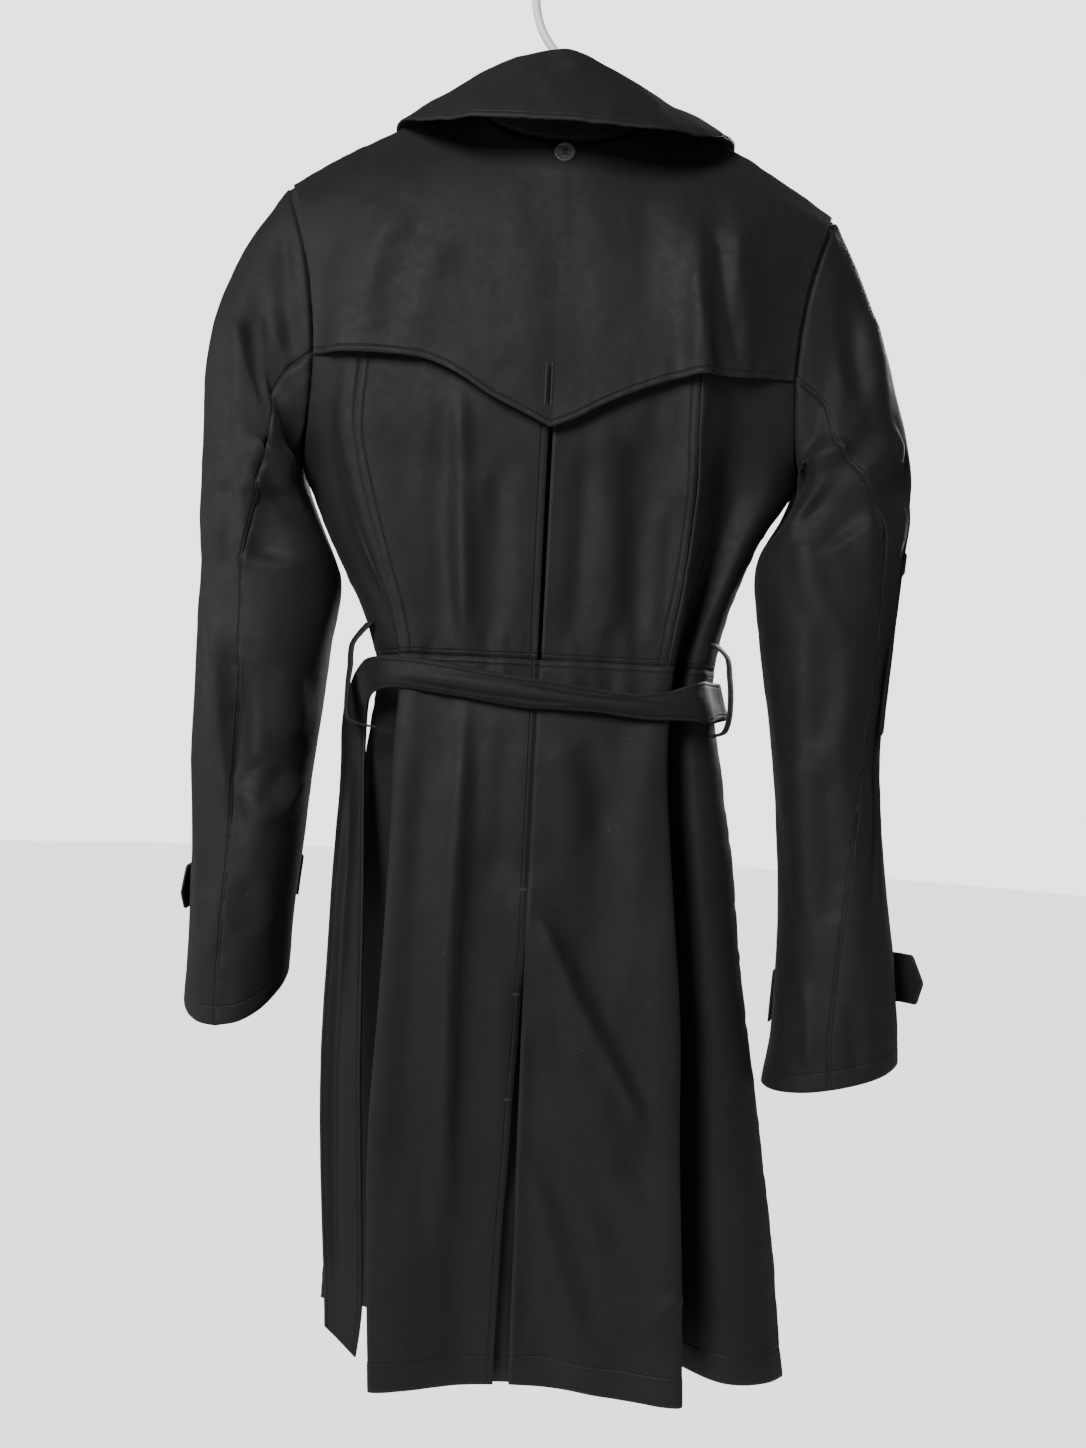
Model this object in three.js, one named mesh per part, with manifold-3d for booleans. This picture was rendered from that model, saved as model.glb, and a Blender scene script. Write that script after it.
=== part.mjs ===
// A belted trench coat hanging on a white tube hanger.
// Millimetres, +Z up. The coat's front faces -Y, and the wearer's left is +X.
// The origin is the point inside the hook that bears on the rail.
//
// Every piece of cloth is a wall: a grid of outer points and the same grid set in by its thickness.
// The body's grids come from two nets, back and front, whose rows are level sections of the garment.
import * as THREE from 'three';
import Module from 'manifold-3d';

// Driving sizes
const CLOTH = 1.6;          // wall of one layer: shell cloth with its turnings
const BELT_CLOTH = 2.2;     // the belt is two layers sewn together
const SEAM_GAP = 0.36;      // between two pieces at a seam
const LAYER_GAP = 0.5;      // between a piece and the panel that it lies on
const NECK_X = 76;          // shoulder seam at the neck
const NECK_Z = -111;
const SHOULDER_X = 215;     // shoulder seam at the sleeve
const SHOULDER_Z = { left: -185, right: -190 };
const SHOULDER_RISE = 6;    // the shoulder seam's middle above the straight line between its ends
const ARMPIT_X = 193;
const ARMPIT_Z = -404;
const BACK_NECK = [0, 45, -157];
const VENT_TOP_Z = -715;
const HEM_Z = -1096;

const v = (x, y, z) => new THREE.Vector3(x, y, z);
const lerp = THREE.MathUtils.lerp;
const clamp = THREE.MathUtils.clamp;
const smooth = (x, low, high) => THREE.MathUtils.smoothstep(x, low, high);
const degrees = THREE.MathUtils.degToRad;
const table = (names, rows) => rows.map((row) => Object.fromEntries(names.map((name, i) => [name, row[i]])));
const range = (from, to, steps) => Array.from({ length: steps + 1 }, (_, i) => lerp(from, to, i / steps));

// A smooth curve through the points, read by point number: 0 is the first, 1.5 is midway from the second
// to the third.
function through(points) {
  const curve = new THREE.CatmullRomCurve3(points, false, 'centripetal');
  return (place) => curve.getPoint(clamp(place / (points.length - 1), 0, 1));
}

// The value of a column at a height or place, smooth between the table's rows.
function column(rows, key, name) {
  return (at) => {
    let i = rows.findIndex((row) => row[key] >= at);
    if (i < 0) return rows.at(-1)[name];
    if (i === 0) return rows[0][name];
    return lerp(rows[i - 1][name], rows[i][name], smooth(at, rows[i - 1][key], rows[i][key]));
  };
}

// Sections of the body, from the hem up. Each gives the plan of one half, from the middle of the back round
// to the middle of the front: a flat back face that ends in a folded edge, the tuck behind that edge, the
// bulge beside the tuck, the side seam, the corner of the front and the middle of the front.
const SECTION = ['z', 'backY', 'edgeX', 'edgeY', 'tuckX', 'tuckY', 'bulgeX', 'bulgeY',
  'sideX', 'sideY', 'cornerX', 'cornerY', 'frontY'];
const LEFT_SECTIONS = table(SECTION, [
  [HEM_Z, 36, 100, 56, 62, -20, 115, -78, 161, -94, 120, -114, -104],
  [-1000, 46, 106, 58, 66, -16, 113, -72, 158, -89, 120, -110, -101],
  [-900, 52, 109, 60, 70, -12, 112, -63, 155, -80, 118, -104, -97],
  [-800, 56, 106, 60, 76, -6, 112, -50, 150, -68, 115, -98, -92],
  [-700, 58, 104, 58, 84, 2, 113, -30, 144, -50, 110, -90, -86],
  [-620, 56, 105, 52, 91, 8, 112, -14, 137, -32, 104, -82, -80],
  [-546, 50, 106, 44, 99, 15, 115, 9, 130, -8, 98, -74, -74],
  [-452, 53, 136, 45, 147, 27, 162, 16, 172, -1, 128, -66, -72],
  [ARMPIT_Z, 57, 150, 46, 161, 32, 176, 22, ARMPIT_X, 0, 150, -60, -71],
]);
const RIGHT_SECTIONS = table(SECTION, [
  [HEM_Z, 34, 134, 56, 108, -34, 174, 20, 219, 2, 176, -94, -104],
  [-1000, 44, 129, 58, 106, -26, 165, 22, 207, 0, 168, -90, -101],
  [-900, 52, 122, 60, 104, -18, 156, 22, 191, -2, 158, -86, -97],
  [-800, 56, 117, 60, 101, -10, 146, 22, 174, -3, 146, -82, -92],
  [-700, 58, 106, 58, 97, 0, 135, 23, 161, -3, 134, -79, -86],
  [-620, 56, 99, 52, 94, 8, 125, 23, 147, -3, 119, -76, -80],
  [-546, 50, 101, 44, 101, 14, 121, 22, 138, -3, 106, -72, -74],
  [-452, 53, 113, 49, 128, 14, 152, 20, 165, -2, 126, -66, -72],
  [ARMPIT_Z, 57, 116, 53, 138, 22, 172, 22, ARMPIT_X, 0, 150, -60, -71],
]);
// Sections above the armpit, where the armhole parts the front from the back. turn is the place round the
// armhole, 180 at the armpit and 0 at the shoulder.
const YOKE = ['turn', 'z', 'backY', 'edgeX', 'edgeY', 'edgeZ', 'tuckX', 'tuckY', 'bulgeX', 'bulgeY',
  'frontY', 'cornerX', 'cornerY', 'cornerZ'];
const LEFT_YOKE = table(YOKE, [
  [140, -376, 59, 155, 47, -377, 166, 37, 178, 32, -71, 148, -62, -377],
  [105, -327, 61, 152, 51, -328, 163, 47, 173, 43, -71, 126, -66, -327],
  [70, -260, 61, 144, 54, -258, 160, 49, 173, 44, -70, 118, -60, -256],
  [35, -206, 55, 124, 40, -192, 151, 36, 180, 31, -64, 110, -44, -190],
]);
const RIGHT_YOKE = table(YOKE, [
  [140, -376, 59, 115, 55, -377, 140, 34, 168, 31, -71, 148, -62, -377],
  [105, -327, 61, 114, 61, -327, 138, 50, 162, 45, -71, 126, -66, -327],
  [70, -260, 61, 112, 61, -256, 140, 53, 166, 46, -70, 118, -60, -256],
  [35, -207, 55, 112, 41, -192, 145, 36, 178, 31, -64, 110, -44, -192],
]);
const HEM_ROW = 0;
const WAIST_ROW = 6;
const ARMPIT_ROW = 8;
const FLAP_ROW = 10;
const TOP_ROW = 13;
const SIDE = 6;             // place of the side seam or armhole, counted from the middle
const EDGE = 3;             // place of the back's folded edge
const NECK = 2;             // place of the shoulder seam's neck end on the top row

const shoulderZ = (hand) => (hand > 0 ? SHOULDER_Z.left : SHOULDER_Z.right);
// A point of the armhole. turn is 0 at the shoulder and 180 at the armpit; depth is how far the hole opens.
const ARMHOLE = { backDepth: 42, frontDepth: 46, inset: 20 };
function armholePoint(hand, face, turn) {
  const angle = degrees(turn);
  const depth = face > 0 ? ARMHOLE.backDepth : ARMHOLE.frontDepth;
  const x = lerp(ARMPIT_X, SHOULDER_X, (1 + Math.cos(angle)) / 2) - ARMHOLE.inset * Math.sin(angle) ** 2;
  const z = lerp(ARMPIT_Z, shoulderZ(hand), (1 + Math.cos(angle)) / 2);
  return v(hand * x, face * depth * Math.sin(angle), z);
}

// Half a section's points on one face, from the middle to the side, and one more past the side for its slope.
function halfBelow(row, hand, face) {
  const p = (x, y) => v(hand * x, y, row.z);
  const back = [p(0, row.backY), p(row.edgeX / 3, lerp(row.backY, row.edgeY, 0.2)),
    p(row.edgeX * 0.68, lerp(row.backY, row.edgeY, 0.75)), p(row.edgeX, row.edgeY),
    p(row.tuckX, row.tuckY), p(row.bulgeX, row.bulgeY), p(row.sideX, row.sideY)];
  const out = 5;
  const between = (share) =>
    p(lerp(row.cornerX, row.sideX, share) + out, lerp(row.cornerY, row.sideY, share) - out);
  const front = [p(0, row.frontY), p(NECK_X / 2, row.frontY), p(NECK_X, lerp(row.frontY, row.cornerY, 0.3)),
    p(row.cornerX, row.cornerY), between(0.33), between(0.67), p(row.sideX, row.sideY)];
  return face > 0 ? [...back, front[5]] : [...front, back[5]];
}

function halfAbove(row, hand, face) {
  const rim = armholePoint(hand, face, row.turn);
  const p = (x, y, z) => v(hand * x, y, z);
  const rimX = Math.abs(rim.x);
  const points = face > 0
    ? [p(0, row.backY, row.z),
      p(row.edgeX / 3, lerp(row.backY, row.edgeY, 0.1), lerp(row.z, row.edgeZ, 0.15)),
      p(row.edgeX * 0.68, lerp(row.backY, row.edgeY, 0.5), lerp(row.z, row.edgeZ, 0.7)),
      p(row.edgeX, row.edgeY, row.edgeZ), p(row.tuckX, row.tuckY, lerp(row.edgeZ, rim.z, 0.25)),
      p(row.bulgeX, row.bulgeY, lerp(row.edgeZ, rim.z, 0.6)), rim]
    : [p(0, row.frontY, row.z), p(NECK_X / 2, row.frontY, lerp(row.z, row.cornerZ, 0.3)),
      p(NECK_X, lerp(row.frontY, row.cornerY, 0.35), lerp(row.z, row.cornerZ, 0.8)),
      p(row.cornerX, row.cornerY, row.cornerZ),
      p(lerp(row.cornerX, rimX, 0.35), lerp(row.cornerY, rim.y, 0.3), lerp(row.cornerZ, rim.z, 0.25)),
      p(lerp(row.cornerX, rimX, 0.7), lerp(row.cornerY, rim.y, 0.65), lerp(row.cornerZ, rim.z, 0.6)), rim];
  return [...points, rim.clone().multiplyScalar(2).sub(points[5])];
}

// A row of the net as a function of the place across: minus to the right, 0 in the middle, plus to the left.
function acrossRow(left, right) {
  const points = [...right.slice(1).reverse(), ...left];
  const curve = through(points);
  return (place) => curve(place + right.length - 1);
}

// The top row: the neckline, then the straight shoulder seams.
function topRow(face) {
  const neck = v(NECK_X, 0, NECK_Z);
  const middle = face > 0 ? v(...BACK_NECK) : v(0, -66, -160);
  const near = face > 0 ? v(43, 35, -146) : v(58, -30, -131);
  const neckline = through([v(-NECK_X, 0, NECK_Z), v(-near.x, near.y, near.z), middle, near, neck]);
  return (place) => {
    if (Math.abs(place) <= NECK) return neckline(place + NECK);
    return shoulderPoint(Math.sign(place), (Math.abs(place) - NECK) / (SIDE - NECK));
  };
}

// A point of the shoulder seam, from the neck at 0 to the sleeve at 1, and the seam's normal there.
function shoulderPoint(hand, share) {
  const rise = 4 * SHOULDER_RISE * share * (1 - share);
  return v(hand * lerp(NECK_X, SHOULDER_X, share), 0, lerp(NECK_Z, shoulderZ(hand), share) + rise);
}
function shoulderNormal(x) {
  const hand = Math.sign(x);
  const share = (Math.abs(x) - NECK_X) / (SHOULDER_X - NECK_X);
  const along = shoulderPoint(hand, share + 0.01).sub(shoulderPoint(hand, share - 0.01));
  return v(-hand * along.z, 0, hand * along.x).normalize();
}

// The coat's largest folds, as ridges (plus) and troughs (minus) along a line from one end to the other.
const FOLD = ['fromX', 'fromZ', 'toX', 'toZ', 'width', 'height'];
const BACK_FOLDS = table(FOLD, [
  [0, -740, -72, -900, 30, 7],
  [-8, -790, -26, -1060, 26, -6],
  [-84, -905, -92, -1010, 26, -3],
  [-20, -960, -60, -1080, 28, 4],
  [56, -640, 52, -980, 24, 4],
  [30, -700, 34, -1060, 22, -3],
  [60, -420, 58, -540, 16, 4],
  [-50, -440, -48, -540, 18, 3],
  [-28, -400, -26, -540, 14, -2],
  [30, -200, 16, -330, 24, 4],
  [-104, -240, -106, -420, 22, 5],
  [-140, -200, -124, -300, 20, -4],
  [70, -250, 66, -330, 16, -3],
]);
const FRONT_FOLDS = table(FOLD, [
  [88, -760, 96, -1080, 28, -6],
  [-84, -780, -120, -1080, 34, -7],
  [-20, -800, -30, -1080, 26, 4],
]);
function foldHeight(folds, x, z) {
  return folds.reduce((sum, f) => {
    const along = clamp(((x - f.fromX) * (f.toX - f.fromX) + (z - f.fromZ) * (f.toZ - f.fromZ))
      / ((f.toX - f.fromX) ** 2 + (f.toZ - f.fromZ) ** 2), 0, 1);
    const away = Math.hypot(x - lerp(f.fromX, f.toX, along), z - lerp(f.fromZ, f.toZ, along)) / f.width;
    return sum + (away < 1 ? f.height * (1 + Math.cos(Math.PI * away)) / 2 : 0);
  }, 0);
}

// One face of the body: its outer surface at a place across and a row, which is the section's number and
// may lie between two.
function bodyNet(face) {
  const rows = LEFT_SECTIONS.map((left, i) =>
    acrossRow(halfBelow(left, 1, face), halfBelow(RIGHT_SECTIONS[i], -1, face)));
  LEFT_YOKE.forEach((left, i) =>
    rows.push(acrossRow(halfAbove(left, 1, face), halfAbove(RIGHT_YOKE[i], -1, face))));
  rows.push(topRow(face));
  const folds = face > 0 ? BACK_FOLDS : FRONT_FOLDS;
  const known = new Map();
  return (place, row) => {
    const key = place.toFixed(5);
    const points = () => rows.map((at) => at(place));
    const sideSeam = Math.abs(place) > SIDE - 1e-6 && row < ARMPIT_ROW;
    if (sideSeam) return through(points().slice(0, ARMPIT_ROW + 1))(row);
    if (!known.has(key)) known.set(key, through(points()));
    const point = known.get(key)(row);
    const flat = 1 - smooth(Math.abs(place), EDGE - 0.6, EDGE + 0.2);
    const belowShoulder = 1 - smooth(row, TOP_ROW - 1.6, TOP_ROW - 0.2);
    const offWaist = 1 - 0.8 * smooth(-Math.abs(row - WAIST_ROW), -0.35, 0);
    point.y += face * flat * belowShoulder * offWaist * foldHeight(folds, point.x, point.z);
    return point;
  };
}
const back = bodyNet(1);
const front = bodyNet(-1);

// Walls
// A grid is a list of rows of points. Seen from outside, rows run up and points run to the right.
function normalsOf(grid) {
  return grid.map((row, i) => row.map((_, j) => {
    const up = grid[Math.min(i + 1, grid.length - 1)][j].clone().sub(grid[Math.max(i - 1, 0)][j]);
    const along = row[Math.min(j + 1, row.length - 1)].clone().sub(row[Math.max(j - 1, 0)]);
    return along.cross(up).normalize();
  }));
}

// The same grid moved out along its normals, by one distance or by a function of row and point.
function movedOut(grid, distance) {
  const normals = normalsOf(grid);
  const far = typeof distance === 'function' ? distance : () => distance;
  return grid.map((row, i) => row.map((point, j) => point.clone().addScaledVector(normals[i][j], far(i, j))));
}

const pieces = new Map();
// Sewn into its neighbours along shared seams, or lying on them as a piece of its own.
const sewnPiece = (name, grid, topShift = 0) => pieces.set(name, { grid, thickness: CLOTH, topShift });
const loosePiece = (name, grid, thickness = CLOTH) => pieces.set(name, { grid, thickness, alone: true });

// Where two pieces share a seam, both take the seam's mean normal, so that their walls meet edge to edge.
function shareSeamNormals() {
  const seams = new Map();
  for (const item of pieces.values()) {
    item.normals = normalsOf(item.grid);
    item.grid.forEach((row, i) => row.forEach((point, j) => {
      const border = i === 0 || j === 0 || i === item.grid.length - 1 || j === row.length - 1;
      if (!border) return;
      const key = point.toArray().map((n) => Math.round(n * 20)).join();
      if (!seams.has(key)) seams.set(key, []);
      seams.get(key).push(item.normals[i][j]);
    }));
  }
  for (const shared of seams.values()) {
    const mean = shared.reduce((sum, n) => sum.add(n), v(0, 0, 0)).normalize();
    shared.forEach((n) => n.copy(mean));
  }
  // All along a shoulder seam the edges stand square to it.
  for (const item of pieces.values()) {
    const top = item.grid.length - 1;
    item.grid[top].forEach((point, j) => {
      const onSeam = Math.abs(point.y) < 0.01 && Math.abs(point.x) > NECK_X - 0.01
        && point.z > SHOULDER_Z.right - 0.01;
      if (onSeam) item.normals[top][j].copy(shoulderNormal(point.x));
    });
  }
}

// Draws a grid's four borders in by a gap, along the cloth. A sleeve's top is moved aside from the armhole
// instead.
function drawnIn(grid, gap, topShift) {
  const inner = grid.map((row) => row.map((point) => point.clone()));
  const last = grid.length - 1;
  const end = grid[0].length - 1;
  const pull = (point, from, to) => point.addScaledVector(to.clone().sub(from).normalize(), gap);
  grid.forEach((row, i) => {
    pull(inner[i][0], row[0], row[1]);
    pull(inner[i][end], row[end], row[end - 1]);
  });
  grid[0].forEach((_, j) => {
    pull(inner[0][j], grid[0][j], grid[1][j]);
    if (topShift) inner[last][j].x += topShift;
    else pull(inner[last][j], grid[last][j], grid[last - 1][j]);
  });
  return inner;
}

function wall(grid, normals, thickness, topShift) {
  const outer = drawnIn(grid, topShift ? SEAM_GAP : SEAM_GAP / 2, topShift);
  const rows = outer.length;
  const count = outer[0].length;
  const inner = outer.map((row, i) =>
    row.map((point, j) => point.clone().addScaledVector(normals[i][j], -thickness)));
  const points = [...outer.flat(), ...inner.flat()];
  const id = (layer, i, j) => layer * rows * count + i * count + j;
  const faces = [];
  const quad = (a, b, c, d) => faces.push(a, b, c, a, c, d);
  for (let i = 0; i < rows - 1; i++) {
    for (let j = 0; j < count - 1; j++) {
      quad(id(0, i, j), id(0, i, j + 1), id(0, i + 1, j + 1), id(0, i + 1, j));
      quad(id(1, i, j), id(1, i + 1, j), id(1, i + 1, j + 1), id(1, i, j + 1));
    }
  }
  const rim = (a, b) => quad(a[0], a[1], b[1], b[0]);
  for (let j = 0; j < count - 1; j++) {
    rim([id(1, 0, j), id(1, 0, j + 1)], [id(0, 0, j), id(0, 0, j + 1)]);
    rim([id(0, rows - 1, j), id(0, rows - 1, j + 1)], [id(1, rows - 1, j), id(1, rows - 1, j + 1)]);
  }
  for (let i = 0; i < rows - 1; i++) {
    rim([id(0, i, 0), id(0, i + 1, 0)], [id(1, i, 0), id(1, i + 1, 0)]);
    rim([id(1, i, count - 1), id(1, i + 1, count - 1)], [id(0, i, count - 1), id(0, i + 1, count - 1)]);
  }
  return solidOf(points, faces);
}

function solidOf(points, faces) {
  const geometry = new THREE.BufferGeometry();
  geometry.setAttribute('position', new THREE.Float32BufferAttribute(points.flatMap((p) => p.toArray()), 3));
  geometry.setIndex(faces);
  geometry.computeVertexNormals();
  return geometry;
}

// Body panels
// Rows of a grid: three to a section, but two to a section beside the armhole.
function rowsBetween(from, to) {
  const rows = [];
  for (let row = from; row < to; row++) {
    const steps = row < ARMPIT_ROW ? 3 : 2;
    for (let i = 0; i < steps; i++) rows.push(row + i / steps);
  }
  return [...rows, to];
}
const gridOf = (rows, places, at) => rows.map((row) => places.map((place) => at(place, row)));
const SEAM = 2.8;           // place of the back's side seams, at the folded edge

const skirtRows = rowsBetween(HEM_ROW, WAIST_ROW);
const bodiceRows = rowsBetween(WAIST_ROW, TOP_ROW);
const allRows = rowsBetween(HEM_ROW, TOP_ROW);

// The vent: both panels' edges lean apart below its top, and the underlap fills the gap behind them.
const VENT_LEAN = { left: 0.22, right: 0.1 };
const heightOfRow = column(LEFT_SECTIONS.map((s, i) => ({ row: i, z: s.z })), 'row', 'z');
const ventPlace = (hand, row) =>
  (hand > 0 ? VENT_LEAN.left : VENT_LEAN.right) * smooth(-heightOfRow(row), -VENT_TOP_Z, -HEM_Z);
const skirtHalf = (hand) => skirtRows.map((row) => {
  const places = [ventPlace(hand, row), ...range(0, SIDE, 16).slice(1)];
  return (hand > 0 ? places.reverse() : places).map((place) => back(hand * place, row));
});
sewnPiece('skirt_back_left', skirtHalf(1));
sewnPiece('skirt_back_right', skirtHalf(-1));

const CENTRE_PLACES = range(0.03, SEAM, 8);
const SIDE_PLACES = range(SEAM, SIDE, 9);
const reversed = (places) => [...places].reverse();
const negative = (places) => places.map((place) => -place);
sewnPiece('bodice_back_left', gridOf(bodiceRows, reversed(CENTRE_PLACES), back));
sewnPiece('bodice_back_right', gridOf(bodiceRows, negative(CENTRE_PLACES), back));
sewnPiece('bodice_side_left', gridOf(bodiceRows, reversed(SIDE_PLACES), back));
sewnPiece('bodice_side_right', gridOf(bodiceRows, negative(SIDE_PLACES), back));

// A front runs from its side seam past the middle to its edge, and above the break to its roll line.
const breakRow = ARMPIT_ROW + 0.05;
function frontEdge(row) {
  if (row <= breakRow) return NECK;
  return lerp(NECK, -NECK, (row - breakRow) / (TOP_ROW - breakRow));
}
// The right front lies over the left one.
function overlap(place, row) {
  const lapelUnder = 3.6 * smooth(row, 7.4, 8.2) * (1 - smooth(row, 10.6, 11.4));
  const fades = smooth(place, -NECK - 1.1, -NECK - 0.3) * (1 - smooth(row, TOP_ROW - 2.4, TOP_ROW - 1));
  return (CLOTH + 1.3 + lapelUnder) * fades;
}
function frontHalf(hand) {
  return allRows.map((row) => {
    const places = range(-SIDE, frontEdge(row), 8);
    return (hand > 0 ? reversed(places) : places).map((place) => {
      const point = front(-hand * place, row);
      if (hand < 0) point.y -= overlap(place, row);
      return point;
    });
  });
}
sewnPiece('front_left', frontHalf(1));
sewnPiece('front_right', frontHalf(-1));

// The net's row at a height, for one place across.
function rowAtHeight(net, place, z) {
  let low = HEM_ROW;
  let high = TOP_ROW;
  for (let i = 0; i < 40; i++) {
    const middle = (low + high) / 2;
    if (net(place, middle).z < z) low = middle;
    else high = middle;
  }
  return (low + high) / 2;
}

// The storm flap lies over the back from the shoulder seams, and stands off it a little along its free edge.
const FLAP_EDGE = table(['x', 'z'], [
  [-200, -326], [-146, -328], [-107, -333], [-78, -340], [-42, -355], [-16, -369], [0, -375.5],
  [20, -365.5], [46, -354], [64, -344], [84, -332], [114, -326.5], [178, -324.5], [200, -324]]);
// Two smooth lines that meet in the flap's point.
const FLAP_POINT_X = 0;
const flapLine = (rows) => through(rows.map((row) => v(row.x, 0, row.z)));
const flapLines = {
  right: flapLine(FLAP_EDGE.filter((row) => row.x <= FLAP_POINT_X)),
  left: flapLine(FLAP_EDGE.filter((row) => row.x >= FLAP_POINT_X)),
};
function flapEdgeZ(x) {
  const line = x < FLAP_POINT_X ? flapLines.right : flapLines.left;
  let low = 0;
  let high = FLAP_EDGE.length;
  for (let i = 0; i < 30; i++) {
    const middle = (low + high) / 2;
    if (line(middle).x < x) low = middle;
    else high = middle;
  }
  return line(low).z;
}
const FLAP_FOLDS = table(FOLD, [
  [104, -250, 96, -330, 20, -5],
  [78, -250, 66, -330, 16, 4],
  [120, -200, 128, -300, 18, 3],
  [22, -205, 20, -300, 20, -3],
  [-92, -215, -100, -330, 15, 5],
  [-112, -205, -122, -330, 13, -6],
  [-134, -230, -140, -320, 16, 3],
]);
function flapPiece() {
  const columns = range(-0.98, 0.98, 26).map((share) => share * SIDE).reverse();
  const edges = columns.map((place) => {
    let row = FLAP_ROW;
    for (let i = 0; i < 6; i++) row = rowAtHeight(back, place, flapEdgeZ(back(place, row).x));
    return row;
  });
  const steps = range(0, 1, 8);
  const base = steps.map((t) => columns.map((place, j) => back(place, lerp(edges[j], TOP_ROW - 0.04, t))));
  const lift = (i, j) => {
    const point = base[i][j];
    const free = 1 - smooth(steps[i], 0, 0.8);
    const inside = 1 - smooth(Math.abs(columns[j]), SIDE - 2.4, SIDE - 0.6);
    const fold = Math.max(-2, foldHeight(FLAP_FOLDS, point.x, point.z));
    const folded = 0.8 * (2 + fold) * inside * (1 - smooth(steps[i], 0.75, 0.97));
    return CLOTH + LAYER_GAP + 0.5 + free * inside * 3.2 + folded;
  };
  return movedOut(base, lift);
}
loosePiece('storm_flap', flapPiece());

// The underlap hangs inside the vent, from the right panel.
const UNDERLAP = { from: -0.42, to: 0.62 };
function underlapPiece() {
  const rows = range(0.06, 3.35, 10);
  const grid = rows.map((row) => range(UNDERLAP.to, UNDERLAP.from, 7).map((place) => back(place, row)));
  return movedOut(grid, -(CLOTH + 1.7));
}
loosePiece('vent_underlap', underlapPiece());

// The pleat's underlay, behind the slit at the middle of the back bodice.
const PLEAT_GAP = 1.1;
function pleatPiece() {
  const rows = range(WAIST_ROW + 0.12, FLAP_ROW + 0.4, 8);
  return movedOut(gridOf(rows, range(0.5, -0.5, 2), back), -(CLOTH + 1));
}
loosePiece('pleat_underlay', pleatPiece());

// Lapels, turned back from the roll lines onto the fronts.
const LAPEL = table(['row', 'width'], [
  [8.25, 0.25], [8.9, 0.72], [9.6, 1.15], [10.3, 1.55], [11, 1.9], [11.6, 2.1], [12.1, 1.9]]);
function lapelPiece(hand) {
  const base = range(8.25, 12.1, 11).map((row) => {
    const roll = frontEdge(row) - 0.06;
    const places = range(roll, roll - column(LAPEL, 'row', 'width')(row), 5);
    return (hand > 0 ? places : reversed(places)).map((place) => {
      const point = front(-hand * place, row);
      if (hand < 0) point.y -= overlap(place, row);
      return point;
    });
  });
  return movedOut(base, (i, j) => {
    const across = (hand > 0 ? j : 5 - j) / 5;
    const under = hand > 0 ? smooth(i, 5, 8) : 1;
    return CLOTH + 0.9 + 3 * under * Math.sin(Math.PI * across * 0.8);
  });
}
loosePiece('lapel_left', lapelPiece(1));
loosePiece('lapel_right', lapelPiece(-1));

// Collar. Each row is a place round the neck, from the middle of the back to the collar's point: the fall's
// free edge, the crest where it rolls over, the seam inside the crest, and the neck seam.
const COLLAR = table(['edgeX', 'edgeY', 'edgeZ', 'crestX', 'crestY', 'crestZ', 'seamX', 'seamY', 'seamZ',
  'neckX', 'neckY', 'neckZ'], [
  [0, 85, -158, 0, 50, -90, 0, 43, -103, 0, 45, -155],
  [34, 84, -158, 20, 49, -92.5, 20, 42, -103, 22, 42, -152],
  [68, 79, -156, 40, 43, -95, 39, 36, -105, 43, 34, -143],
  [92, 63, -151, 58, 33, -98, 55, 26, -107, 62, 18, -127],
  [112, 42, -143, 71, 19, -100, 65, 15, -107, 72, 8, -115],
  [128, 16, -132.5, 79, 2, -99, 72, 2, -105, 73, 0, -109.5],
  [135, -12, -132, 79, -17, -106, 71, -14, -111, 71, -12, -116],
  [131, -48, -156, 74, -36, -121, 67, -31, -124, 66, -30, -129],
  [118, -72, -192, 66, -52, -145, 60, -45, -146, 58, -44, -150],
  [101, -84, -222, 57, -66, -172, 51, -58, -172, 49, -56, -176],
]);
// How much lower each line lies over the right side of the neck.
const COLLAR_RIGHT_DROP = { edge: 2, crest: 11, seam: 5, neck: 0 };
// Behind the shoulder seams the stand follows the neckline.
const backNeckline = topRow(1);
function collarLine(name, hand) {
  return COLLAR.map((row, i) => (name === 'neck' && i <= 5
    ? backNeckline(hand * NECK * i / 5).add(v(0, 0, 0.6))
    : v(hand * row[`${name}X`], row[`${name}Y`], row[`${name}Z`])));
}
function collarCurve(name) {
  const lower = COLLAR_RIGHT_DROP[name];
  const right = collarLine(name, -1).map((p, i) =>
    p.add(v(0, 0, -lower * Math.sin(Math.min(i, 6) * Math.PI / 6))));
  return through([...right.slice(1).reverse(), ...collarLine(name, 1)]);
}
function collarPieces() {
  const edge = collarCurve('edge');
  const crest = collarCurve('crest');
  const seam = collarCurve('seam');
  const neck = collarCurve('neck');
  const places = range(0, 2 * (COLLAR.length - 1), 28);
  const stationsOf = (place) => {
    const e = edge(place);
    const c = crest(place);
    const s = seam(place);
    const outward = e.clone().sub(s).setZ(0).normalize();
    const bulge = e.clone().lerp(c, 0.5).addScaledVector(outward, 3.5).add(v(0, 0, 1));
    const shoulder = c.clone().addScaledVector(outward, 4.5).add(v(0, 0, -1.5));
    return through([e, bulge, shoulder, c.clone().addScaledVector(outward, -1), s.clone().lerp(c, 0.12)]);
  };
  const lines = places.map(stationsOf).reverse();
  const falls = [0, 0.5, 1, 1.5, 2, 2.6, 3.2, 4].map((t) => lines.map((line) => line(t)));
  const stands = [0, 0.5, 1].map((t) => places.map((place) => {
    const top = seam(place);
    const low = neck(place);
    return low.clone().lerp(top.clone().add(v(0, 0, -0.3)), t);
  }).reverse());
  return { falls, stands };
}
const collar = collarPieces();
loosePiece('collar_fall', collar.falls);
loosePiece('collar_stand', collar.stands);

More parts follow.
